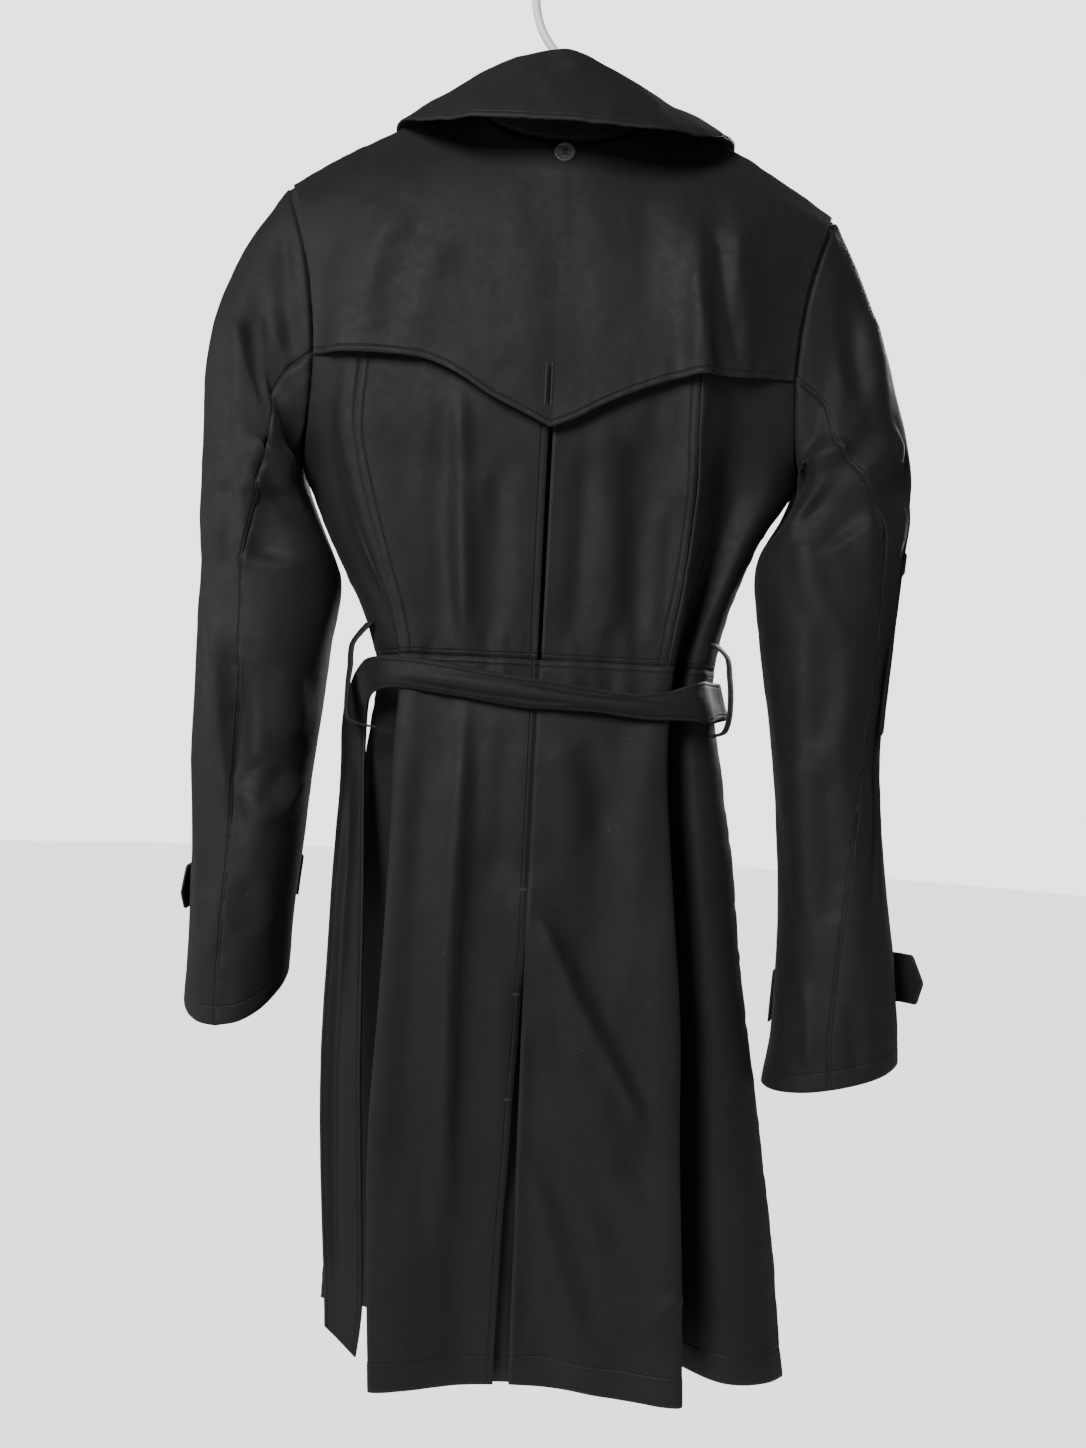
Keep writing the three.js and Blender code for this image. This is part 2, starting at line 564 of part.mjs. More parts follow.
// Sleeves. Each row is a ring: its outer point, the point nearest the body, the middle's Y, half the depth
// from front to back, how far the ring hangs lower at the back of its inner side, and the hind seam's place
// round it.
const RING = ['outX', 'outZ', 'inX', 'inZ', 'midY', 'deep', 'drop', 'seam'];
const LEFT_SLEEVE = table(RING, [
  [266, -831, 187, -781, -6, 47, 34, 84],
  [265, -772, 185, -734, -6, 47, 24, 82],
  [265, -706, 179, -685, -5, 47, 14, 82],
  [267, -623, 174, -624, -4, 48, 6, 82],
  [267, -549, 168, -572, -3, 49, 2, 80],
  [267, -486, 163, -533, -2, 49, 0, 78],
  [270, -431, 159, -508, -1, 49, 0, 80],
  [272, -373, 159, -488, 0, 48, 0, 88],
  [272, -321, 167, -468, 0, 47, 0, 96],
  [264, -278, 179, -446, 0, 46, 0, 104],
  [250, -241, 188, -427, 0, 45, 0, 108],
  [233, -212, 193, -413, -1, 44, 0, 108],
]);
const RIGHT_SLEEVE = table(RING, [
  [297, -844, 193, -868, -6, 48, 2, 102],
  [294, -794, 198, -814, -6, 48, 2, 106],
  [284, -728, 200, -746, -5, 48, 2, 96],
  [274, -660, 195, -675, -4, 48, 2, 76],
  [267, -589, 188, -613, -3, 49, 0, 54],
  [273, -522, 180, -562, -2, 50, 0, 50],
  [278, -460, 173, -521, -1, 50, 0, 54],
  [283, -412, 168, -492, 0, 50, 0, 60],
  [281, -374, 166, -469, 0, 49, 0, 72],
  [271, -336, 170, -450, 0, 48, 0, 84],
  [260, -298, 181, -434, 0, 47, 0, 96],
  [247, -260, 189, -421, 0, 46, 0, 106],
  [231, -223, 195, -409, -1, 44, 0, 108],
]);
// The folds of a sleeve: a place round the ring and along the sleeve at each end, 0 at the hem and 1 at the
// shoulder.
const SLEEVE_FOLD = ['fromTurn', 'fromShare', 'toTurn', 'toShare', 'width', 'height'];
const LEFT_SLEEVE_FOLDS = table(SLEEVE_FOLD, [
  [120, 0.56, 88, 0.62, 0.05, 7],
  [86, 0.6, 52, 0.72, 0.04, -5],
  [96, 0.72, 60, 0.93, 0.04, -5],
  [118, 0.5, 60, 0.44, 0.05, 4],
  [62, 0.2, 40, 0.5, 0.06, 5],
  [110, 0.3, 96, 0.12, 0.05, -4],
  [250, 0.52, 310, 0.58, 0.06, -5],
  [240, 0.7, 300, 0.8, 0.05, 4],
  [220, 0.3, 290, 0.25, 0.05, -4],
]);
const RIGHT_SLEEVE_FOLDS = table(SLEEVE_FOLD, [
  [120, 0.62, 74, 0.66, 0.045, 7],
  [112, 0.57, 60, 0.58, 0.045, -6],
  [58, 0.5, 36, 0.3, 0.06, 3],
  [92, 0.42, 70, 0.16, 0.05, -4],
  [80, 0.8, 66, 0.94, 0.04, -4],
  [250, 0.55, 310, 0.6, 0.06, -5],
  [240, 0.72, 300, 0.8, 0.05, 4],
  [220, 0.3, 290, 0.25, 0.05, -4],
]);
function sleeveFold(folds, turn, share) {
  return folds.reduce((sum, f) => {
    const reach = 420;
    const dx = (f.toTurn - f.fromTurn) / reach;
    const dy = f.toShare - f.fromShare;
    const px = (turn - f.fromTurn) / reach;
    const py = share - f.fromShare;
    const along = clamp((px * dx + py * dy) / (dx * dx + dy * dy), 0, 1);
    const away = Math.hypot(px - dx * along, py - dy * along) / f.width;
    return sum + (away < 1 ? f.height * (1 + Math.cos(Math.PI * away)) / 2 : 0);
  }, 0);
}

const armRows = rowsBetween(ARMPIT_ROW, TOP_ROW);
// The armhole as the body's own edge points, from the shoulder down the back to the armpit and up the front.
function armholeRing(hand) {
  const behind = [...armRows].reverse().map((row) => back(hand * SIDE, row));
  const before = armRows.slice(1, -1).map((row) => front(hand * SIDE, row));
  return [...behind, ...before];
}

const HIND_TURN = 108;
function sleeveGrid(hand, rings, folds) {
  const count = 2 * (armRows.length - 1);
  const turns = Array.from({ length: count }, (_, j) => 360 * j / count);
  const hole = armholeRing(hand);
  const lines = turns.map((turn, j) => {
    const points = rings.map((ring, i) => {
      const warp = (HIND_TURN - ring.seam) * Math.sin(degrees(turn)) ** 2 / Math.sin(degrees(HIND_TURN)) ** 2;
      const angle = degrees(turn - warp * (turn < 180 ? 1 : 0.4));
      const out = v(hand * ring.outX, ring.midY, ring.outZ);
      const near = v(hand * ring.inX, ring.midY, ring.inZ);
      const point = out.clone().lerp(near, (1 - Math.cos(angle)) / 2);
      return point.add(v(0, ring.deep * Math.sin(angle), -ring.drop * Math.sin(angle - degrees(35))));
    });
    return through([...points, hole[j]]);
  });
  const steps = range(0, rings.length, 17);
  const grid = steps.map((step) => lines.map((line) => line(step)));
  const middles = grid.map((ring) =>
    ring.reduce((sum, p) => sum.add(p), v(0, 0, 0)).divideScalar(ring.length));
  grid.forEach((ring, i) => ring.forEach((point, j) => {
    const share = i / (grid.length - 1);
    const free = (1 - smooth(share, 0.9, 1)) * smooth(share, 0, 0.04);
    const outward = point.clone().sub(middles[i]).normalize();
    point.addScaledVector(outward, free * sleeveFold(folds, turns[j], share));
  }));
  return grid;
}

// The top sleeve runs round the outside from the front seam to the hind seam, the under sleeve round the
// inside.
const HIND = 6;
const FORE = 15;
function sleevePieces(name, hand, rings, folds) {
  const grid = sleeveGrid(hand, rings, folds);
  const count = grid[0].length;
  const part = (from, to) => grid.map((ring) => {
    const row = [];
    for (let j = from; j <= to; j++) row.push(ring[(j + count) % count].clone());
    return hand > 0 ? row : row.reverse();
  });
  sewnPiece(`sleeve_${name}_top`, part(FORE - count, HIND), hand);
  sewnPiece(`sleeve_${name}_under`, part(HIND, FORE), hand);
  return grid;
}
const leftSleeve = sleevePieces('left', 1, LEFT_SLEEVE, LEFT_SLEEVE_FOLDS);
const rightSleeve = sleevePieces('right', -1, RIGHT_SLEEVE, RIGHT_SLEEVE_FOLDS);

// Ribbons: the belt, its loops and the cuff straps. Each row of a table is a station: one edge, the line
// along the middle and the other edge.
const STATION = ['aX', 'aY', 'aZ', 'mX', 'mY', 'mZ', 'bX', 'bY', 'bZ'];
function ribbon(rows, across, along) {
  const curve = (name) => through(rows.map((row) => v(row[`${name}X`], row[`${name}Y`], row[`${name}Z`])));
  const edges = [curve('a'), curve('m'), curve('b')];
  return range(0, 1, across).map((t) => range(0, rows.length - 1, along).map((place) => {
    const points = edges.map((edge) => edge(place));
    return through(points)(2 * t);
  }));
}
const BELT = table(STATION, [
  [-139, -107, -872, -125, -112, -882, -112, -116, -872],
  [-144, -107, -850, -125, -112, -850, -106, -116, -850],
  [-144, -101, -760, -125, -107, -760, -106, -111, -760],
  [-140, -86, -640, -121, -93, -642, -103, -98, -640],
  [-133, -70, -598, -124, -80, -590, -118, -84, -574],
  [-143, -44, -588, -139, -46, -574, -135, -46, -560],
  [-151, -12, -584, -147, -12, -571, -143, -12, -556],
  [-140, 13, -584, -136, 13, -571, -132.2, 13, -556],
  [-131, 33, -588, -128, 34, -571, -124, 32, -556],
  [-116, 48, -586, -114, 50, -572, -112, 47, -560],
  [-80, 55, -586, -79, 59, -577, -78, 56, -568],
  [-40, 58, -582, -40, 62, -575, -40, 58, -565],
  [5, 60, -584, 5, 64, -573, 5, 60, -561],
  [50, 58, -579, 50, 63, -568, 50, 58, -556],
  [84, 54, -575, 84, 58, -563, 84, 54, -551],
  [109, 47, -572, 111, 49, -561, 112, 46, -549],
  [124, 30, -576, 127, 31, -564, 129, 30, -550],
  [131, 8, -584, 136, 8, -572, 139, 8, -557],
  [134, -8, -594, 141, -8, -583, 147, -8, -568],
  [135, -16, -612, 146, -19, -604, 155, -22, -594],
  [134, -14, -650, 145, -21, -648, 155, -28, -645],
  [131, -12, -708, 143, -18, -708, 157, -24, -708],
  [127, -8, -804, 142, -13, -804, 158, -18, -804],
  [124, -6, -885, 140, -12, -885, 158, -17, -885],
  [118, -6, -983, 134, -11, -983, 152, -16, -983],
  [114, -4, -1064, 129, -9, -1066, 145, -14, -1064],
  [117, -5, -1101, 129, -9, -1092, 144, -13, -1081],
]);
loosePiece('belt', ribbon(BELT, 4, 50), BELT_CLOTH);

const LOOP_LEFT = table(STATION, [
  [122.7, 11, -604, 123.7, 6, -604, 124.7, 1, -604],
  [146, 12, -598, 148, 6, -598, 149, 0, -598],
  [148, 12, -578, 150, 6, -578, 152, 0, -577],
  [146, 12, -556, 148, 6, -556, 151, 0, -556],
  [145, 11, -538, 147, 6, -538, 150, 0, -538],
  [131, 11, -521, 134, 6, -521, 138, 1, -521],
]);
const LOOP_RIGHT = table(STATION, [
  [-138.2, 9, -598, -136.2, 14, -598, -133.2, 20, -598],
  [-149, 8, -594, -147, 14, -594, -144, 20, -594],
  [-153, 8, -574, -151, 14, -574, -148, 20, -574],
  [-151, 8, -548, -149, 14, -548, -146, 20, -548],
  [-148.5, 8, -535, -146.5, 14, -535, -143.5, 20, -535],
  [-138.7, 9, -525, -135.7, 14, -525, -131.7, 20, -525],
]);
loosePiece('belt_loop_left', turned(ribbon(LOOP_LEFT, 2, 10)));
loosePiece('belt_loop_right', turned(ribbon(LOOP_RIGHT, 2, 10)));

// Swaps rows and columns, and keeps the outside outside.
function turned(grid) {
  return grid[0].map((_, j) => grid.map((row) => row[j].clone())).map((row) => row.reverse());
}

// A cuff strap lies round the front half of its cuff, and its tip stands off the outer side.
function strapPiece(grid, hand, share, tip) {
  const count = grid[0].length;
  const last = grid.length - 1;
  const at = (turn, s) => {
    const j = ((turn / 360 * count) % count + count) % count;
    const i = clamp(s * last, 0, last - 0.001);
    const a = Math.floor(i);
    const c = Math.floor(j);
    const low = grid[a][c].clone().lerp(grid[a][(c + 1) % count], j - c);
    const high = grid[a + 1][c].clone().lerp(grid[a + 1][(c + 1) % count], j - c);
    return low.lerp(high, i - a);
  };
  const turns = range(198, 366, 18);
  const rows = [-0.5, 0, 0.5].map((side) => turns.map((turn) => {
    const narrow = turn > 360 ? 0.06 : 1;
    return at(turn, share + side * narrow * 0.05);
  }));
  const middle = at(0, share).lerp(at(180, share), 0.5);
  const base = rows.map((row) => row.map((point, j) => {
    const off = CLOTH + 1.1 + tip * smooth(turns[j], 318, 366) ** 2;
    const outward = point.clone().sub(middle).setZ(0).normalize();
    return point.clone().addScaledVector(outward, off);
  }));
  return hand > 0 ? base : base.map((row) => row.reverse());
}
loosePiece('cuff_strap_left', strapPiece(leftSleeve, 1, 0.11, 6));
loosePiece('cuff_strap_right', strapPiece(rightSleeve, -1, 0.088, 20));

// Meshes
const group = new THREE.Group();
group.name = 'trench_coat';
const MATERIALS = {
  gabardine: new THREE.MeshStandardMaterial({ color: 0x1b1c20, roughness: 0.7, side: THREE.DoubleSide }),
  horn: new THREE.MeshStandardMaterial({ color: 0x161413, roughness: 0.35 }),
  plastic: new THREE.MeshStandardMaterial({ color: 0xe9eaea, roughness: 0.4 }),
};
function addMesh(name, geometry, material) {
  const mesh = new THREE.Mesh(geometry, MATERIALS[material]);
  mesh.name = name;
  group.add(mesh);
  return mesh;
}

shareSeamNormals();
for (const [name, item] of pieces) {
  const normals = item.alone ? normalsOf(item.grid) : item.normals;
  addMesh(name, wall(item.grid, normals, item.thickness, item.topShift), 'gabardine');
}

// Buttons: a flat disc with a raised rim and four holes, lying on its panel.
const wasm = await Module();
wasm.setup();
function buttonSolid(diameter, height) {
  const { Manifold } = wasm;
  const radius = diameter / 2;
  const disc = Manifold.cylinder(height, radius, radius * 0.94, 14);
  const dish = Manifold.cylinder(height, radius * 0.7, radius * 0.76, 10).translate([0, 0, height * 0.72]);
  let made = disc.subtract(dish);
  for (const [x, y] of [[-1, -1], [1, -1], [1, 1], [-1, 1]]) {
    const hole = Manifold.cylinder(3 * height, 0.9, 0.9, 4).translate([x * 1.7, y * 1.7, -height]);
    made = made.subtract(hole);
  }
  return made;
}
function geometryOf(solid) {
  const mesh = solid.getMesh();
  const geometry = new THREE.BufferGeometry();
  geometry.setAttribute('position', new THREE.Float32BufferAttribute(mesh.vertProperties, 3));
  geometry.setIndex(new THREE.BufferAttribute(mesh.triVerts, 1));
  return geometry;
}
// Places a button at a point, its back on the cloth, facing along the normal.
function addButton(name, at, normal, diameter, height, off) {
  const mesh = addMesh(name, geometryOf(buttonSolid(diameter, height)), 'horn');
  mesh.quaternion.setFromUnitVectors(v(0, 0, 1), normal.clone().normalize());
  mesh.position.copy(at).addScaledVector(normal.clone().normalize(), off);
  mesh.updateMatrixWorld(true);
}
// A body net's normal, by small steps across and up.
function netNormal(net, face, place, row) {
  const along = net(place - 0.1 * face, row).sub(net(place + 0.1 * face, row));
  const up = net(place, row + 0.1).sub(net(place, row - 0.1));
  return along.cross(up).normalize();
}
const neckRow = rowAtHeight(back, 0, -167);
const neckNormal = netNormal(back, 1, 0, neckRow);
const neckSpot = back(0, neckRow).addScaledVector(neckNormal, CLOTH + 0.3);
addButton('button_neck', neckSpot, neckNormal, 15.5, 2.2, 1.6);
const FRONT_BUTTONS = table(['place', 'row', 'off'], [
  [1.45, 7.55, 1.6], [-1.45, 7.55, 1.6], [1.45, 4.8, 0.5], [-1.45, 4.8, 0.2]]);
FRONT_BUTTONS.forEach((spot, i) => {
  const at = front(spot.place, spot.row);
  at.y -= overlap(spot.place, spot.row);
  addButton(`button_front_${i + 1}`, at, netNormal(front, -1, spot.place, spot.row), 22, 3, spot.off);
});

// The hanger: a round white tube, bent into a hook that meets two sloping arms.
const ROD = 3.3;
const HOOK_RADIUS = 29;
function tube(points, radius, steps, sides) {
  const path = new THREE.CatmullRomCurve3(points, false, 'centripetal');
  const shape = new THREE.Shape();
  shape.absarc(0, 0, radius, 0, Math.PI * 2, false);
  return new THREE.ExtrudeGeometry(shape,
    { steps, bevelEnabled: false, extrudePath: path, curveSegments: sides });
}
const manifoldOf = (geometry) => {
  const flat = geometry.index ? geometry.toNonIndexed() : geometry;
  const position = flat.getAttribute('position').array;
  const seen = new Map();
  const vertices = [];
  const triangles = [];
  for (let i = 0; i < position.length; i += 3) {
    const key = [position[i], position[i + 1], position[i + 2]].map((n) => Math.round(n * 1000)).join();
    if (!seen.has(key)) {
      seen.set(key, vertices.length / 3);
      vertices.push(position[i], position[i + 1], position[i + 2]);
    }
    triangles.push(seen.get(key));
  }
  const kept = [];
  for (let i = 0; i < triangles.length; i += 3) {
    const [a, b, c] = triangles.slice(i, i + 3);
    if (a !== b && b !== c && a !== c) kept.push(a, b, c);
  }
  const solid = () => new wasm.Manifold(new wasm.Mesh(
    { numProp: 3, vertProperties: new Float32Array(vertices), triVerts: new Uint32Array(kept) }));
  if (solid().volume() < 0) kept.reverse();
  return solid();
};
// The origin bears on the rail, so the hook's inner face passes through it and its middle line lies ROD
// higher.
const hookPoints = range(165, 0, 14).map((angle) =>
  v(HOOK_RADIUS * Math.cos(degrees(angle)), 0, HOOK_RADIUS * Math.sin(degrees(angle)) - HOOK_RADIUS + ROD));
hookPoints.push(v(HOOK_RADIUS - 1.5, 0, -HOOK_RADIUS - 9), v(HOOK_RADIUS - 8, 0, -HOOK_RADIUS - 26),
  v(7, 0, -HOOK_RADIUS - 42), v(1, 0, -HOOK_RADIUS - 54), v(0, 0, -104));
const ARM = table(['x', 'z', 'thick', 'deep'], [
  [-190, -189, 4, 5], [-150, -163.5, 5, 6], [-110, -142.5, 6, 7], [-70, -127.6, 7, 8], [0, -110, 10, 11],
  [70, -127.4, 7, 8], [110, -141.5, 6, 7], [150, -162, 5, 6], [190, -186.5, 4, 5]]);
function armSolid() {
  const along = range(0, ARM.length - 1, 16);
  const middle = through(ARM.map((a) => v(a.x, 0, a.z)));
  const size = through(ARM.map((a) => v(a.thick, a.deep, 0)));
  const sides = 10;
  const points = [];
  along.forEach((place) => {
    const centre = middle(place);
    const half = size(place);
    const ahead = middle(Math.min(place + 0.05, 8)).sub(middle(Math.max(place - 0.05, 0))).normalize();
    const up = v(-ahead.z, 0, ahead.x);
    for (let k = 0; k < sides; k++) {
      const angle = 2 * Math.PI * k / sides;
      const rim = centre.clone().addScaledVector(up, half.x * Math.cos(angle));
      points.push(rim.add(v(0, half.y * Math.sin(angle), 0)));
    }
  });
  const faces = [];
  for (let i = 0; i < along.length - 1; i++) {
    for (let k = 0; k < sides; k++) {
      const a = i * sides + k;
      const b = i * sides + (k + 1) % sides;
      faces.push(a, b, b + sides, a, b + sides, a + sides);
    }
  }
  const first = points.length;
  points.push(middle(0), middle(8));
  for (let k = 0; k < sides; k++) {
    const next = (k + 1) % sides;
    const end = (along.length - 1) * sides;
    faces.push(first, next, k, first + 1, end + k, end + next);
  }
  return solidOf(points, faces);
}
const hook = manifoldOf(tube(hookPoints, ROD, 24, 5));
const tip = wasm.Manifold.sphere(ROD, 8).translate(hookPoints[0].toArray());
const arms = manifoldOf(armSolid());
addMesh('hanger', geometryOf(wasm.Manifold.union([hook, tip, arms])), 'plastic');

export default group;
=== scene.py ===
import math
import bpy
import numpy as np
from mathutils import Matrix, Vector
from mathutils.bvhtree import BVHTree


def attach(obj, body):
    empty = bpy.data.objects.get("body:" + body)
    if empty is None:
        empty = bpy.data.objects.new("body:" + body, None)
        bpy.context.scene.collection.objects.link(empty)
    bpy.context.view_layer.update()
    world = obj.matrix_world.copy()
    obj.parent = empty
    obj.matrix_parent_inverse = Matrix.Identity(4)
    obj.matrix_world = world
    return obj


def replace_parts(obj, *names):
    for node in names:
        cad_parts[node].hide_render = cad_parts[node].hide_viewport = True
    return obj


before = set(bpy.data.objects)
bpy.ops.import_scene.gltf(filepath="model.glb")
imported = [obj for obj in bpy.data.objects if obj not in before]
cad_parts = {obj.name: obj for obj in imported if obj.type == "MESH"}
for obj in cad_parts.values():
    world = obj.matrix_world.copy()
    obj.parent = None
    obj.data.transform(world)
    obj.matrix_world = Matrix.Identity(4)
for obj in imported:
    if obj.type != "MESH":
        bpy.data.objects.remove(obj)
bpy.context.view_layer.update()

MM = 0.001
CLOTH = 1.6
BELT_CLOTH = 2.2
SAME_LENGTH = 0.02
TINY = 1e-9


# Grids of cloth
# A triangle's side that is within SAME_LENGTH of the wall's thickness counts as one that crosses the wall.
# Each piece of cloth in the CAD model is a wall round a grid of points.
# These functions read the grid back from the wall.
def corners_of(node):
    mesh = node.data
    mesh.calc_loop_triangles()
    points = np.array([v.co for v in mesh.vertices]) * 1000
    merged, number = np.unique(np.round(points, 3), axis=0, return_inverse=True)
    number = number.reshape(-1)
    triangles = np.array([number[list(t.vertices)] for t in mesh.loop_triangles])
    return merged, triangles


def wall_faces(node, thickness):
    points, triangles = corners_of(node)
    third = {}
    for a, b, c in triangles.tolist():
        sides = [np.linalg.norm(points[p] - points[q]) for p, q in ((a, b), (b, c), (c, a))]
        if min(abs(s - thickness) for s in sides) < SAME_LENGTH:
            continue
        third[a, b], third[b, c], third[c, a] = c, a, b
    uses = {}
    for (a, b), c in third.items():
        uses.setdefault(c, []).append((a, b))
    grids = []
    taken = set()
    for corner, edges in sorted(uses.items()):
        if len(edges) != 1 or corner in taken:
            continue
        c, a = edges[0]
        d = third.get((a, c))
        if d is None:
            continue
        cells = {(0, 0): (a, corner, c, d)}
        waiting = [(0, 0)]
        while waiting:
            i, j = waiting.pop()
            a, b, c, d = cells[i, j]
            for step, first, second, made in (
                ((0, 1), (c, b), lambda x: (x, b), lambda x, y: (b, y, x, c)),
                ((0, -1), (a, d), lambda x: (x, d), lambda x, y: (x, a, d, y)),
                ((1, 0), (d, c), lambda x: (d, x), lambda x, y: (d, c, x, y)),
                ((-1, 0), (b, a), lambda x: (b, x), lambda x, y: (x, y, b, a)),
            ):
                place = (i + step[0], j + step[1])
                x = third.get(first)
                if place in cells or x is None:
                    continue
                y = third.get(second(x))
                if y is None:
                    continue
                cells[place] = made(x, y)
                waiting.append(place)
        rows = [p[0] for p in cells]
        columns = [p[1] for p in cells]
        grid = np.full((max(rows) - min(rows) + 2, max(columns) - min(columns) + 2), -1)
        for (i, j), (a, b, c, d) in cells.items():
            r, s = i - min(rows), j - min(columns)
            grid[r, s], grid[r, s + 1], grid[r + 1, s + 1], grid[r + 1, s] = a, b, c, d
        if (grid < 0).any():
            continue
        taken.update(grid.ravel().tolist())
        grids.append(points[grid])
    return grids


def area_of(grid):
    a = grid[1:, 1:] - grid[:-1, :-1]
    b = grid[1:, :-1] - grid[:-1, 1:]
    return np.linalg.norm(np.cross(a, b), axis=2).sum() / 2


def turned_up(grid, lengthwise=False):
    best = None
    for turns in range(4):
        made = np.rot90(grid, turns)
        if lengthwise and made.shape[1] < made.shape[0]:
            continue
        rise = (made[-1] - made[0])[:, 2].mean()
        if best is None or rise > best[0]:
            best = (rise, made)
    return best[1]


def outer_grid(name, thickness, shown):
    grids = wall_faces(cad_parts[name], thickness)
    grids = [g for g in grids if g.size == max(h.size for h in grids)]
    if shown == "back":
        grid = max(grids, key=lambda g: g[..., 1].mean())
    elif shown == "front":
        grid = min(grids, key=lambda g: g[..., 1].mean())
    else:
        grid = max(grids, key=area_of)
    return turned_up(grid, shown == "ribbon")


# A smooth curve through the grid's points, or straight lines between them, read at even steps.
def evened(grid, axis, step, straight=False):
    g = np.moveaxis(grid, axis, 0)
    lengths = np.linalg.norm(np.diff(g, axis=0), axis=-1).mean(axis=1)
    at = np.concatenate([[0], np.cumsum(lengths)])
    count = max(3, int(round(at[-1] / step)) + 1)
    wanted = np.linspace(0, at[-1], count)
    k = np.clip(np.searchsorted(at, wanted, side="right") - 1, 0, len(at) - 2)
    span = (at[k + 1] - at[k])[:, None, None]
    t = (wanted - at[k])[:, None, None] / span
    if straight:
        return np.moveaxis(g[k] + (g[k + 1] - g[k]) * t, 0, axis)
    slope = np.empty_like(g)
    slope[1:-1] = (g[2:] - g[:-2]) / (at[2:] - at[:-2])[:, None, None]
    slope[0] = (g[1] - g[0]) / (at[1] - at[0])
    slope[-1] = (g[-1] - g[-2]) / (at[-1] - at[-2])
    made = (
        (2 * t**3 - 3 * t**2 + 1) * g[k]
        + (t**3 - 2 * t**2 + t) * span * slope[k]
        + (3 * t**2 - 2 * t**3) * g[k + 1]
        + (t**3 - t**2) * span * slope[k + 1]
    )
    return np.moveaxis(made, 0, axis)


def normals_of(grid):
    along = np.gradient(grid, axis=1)
    up = np.gradient(grid, axis=0)
    n = np.cross(along, up)
    return n / np.maximum(np.linalg.norm(n, axis=2, keepdims=True), TINY)


def smooth(x, low, high):
    t = np.clip((x - low) / (high - low), 0, 1)
    return t * t * (3 - 2 * t)


# Uneven ground that the folds and puckers draw from: smooth noise of about 1 to -1, the same at every run.
SEED_SHIFT = 17.3
SEED_MIX = 2654435761
CELL_MIX = (73856093, 19349663, 83492791)
SCRAMBLE = 1274126177
HALF_RANGE = 32767.5


def unevenness(points, size, seed):
    p = points / size + seed * SEED_SHIFT
    cell = np.floor(p).astype(np.int64)
    f = p - cell
    f = f * f * (3 - 2 * f)
    total = np.zeros(points.shape[:-1])
    for dx in (0, 1):
        for dy in (0, 1):
            for dz in (0, 1):
                c = cell + np.array([dx, dy, dz])
                h = (c[..., 0] * CELL_MIX[0]) ^ (c[..., 1] * CELL_MIX[1]) ^ (c[..., 2] * CELL_MIX[2])
                h = h ^ (seed * SEED_MIX)
                h = (h ^ (h >> 13)) * SCRAMBLE
                value = ((h >> 8) & 0xFFFF) / HALF_RANGE - 1
                w = (f[..., 0] if dx else 1 - f[..., 0]) * (f[..., 1] if dy else 1 - f[..., 1])
                total += value * w * (f[..., 2] if dz else 1 - f[..., 2])
    return total


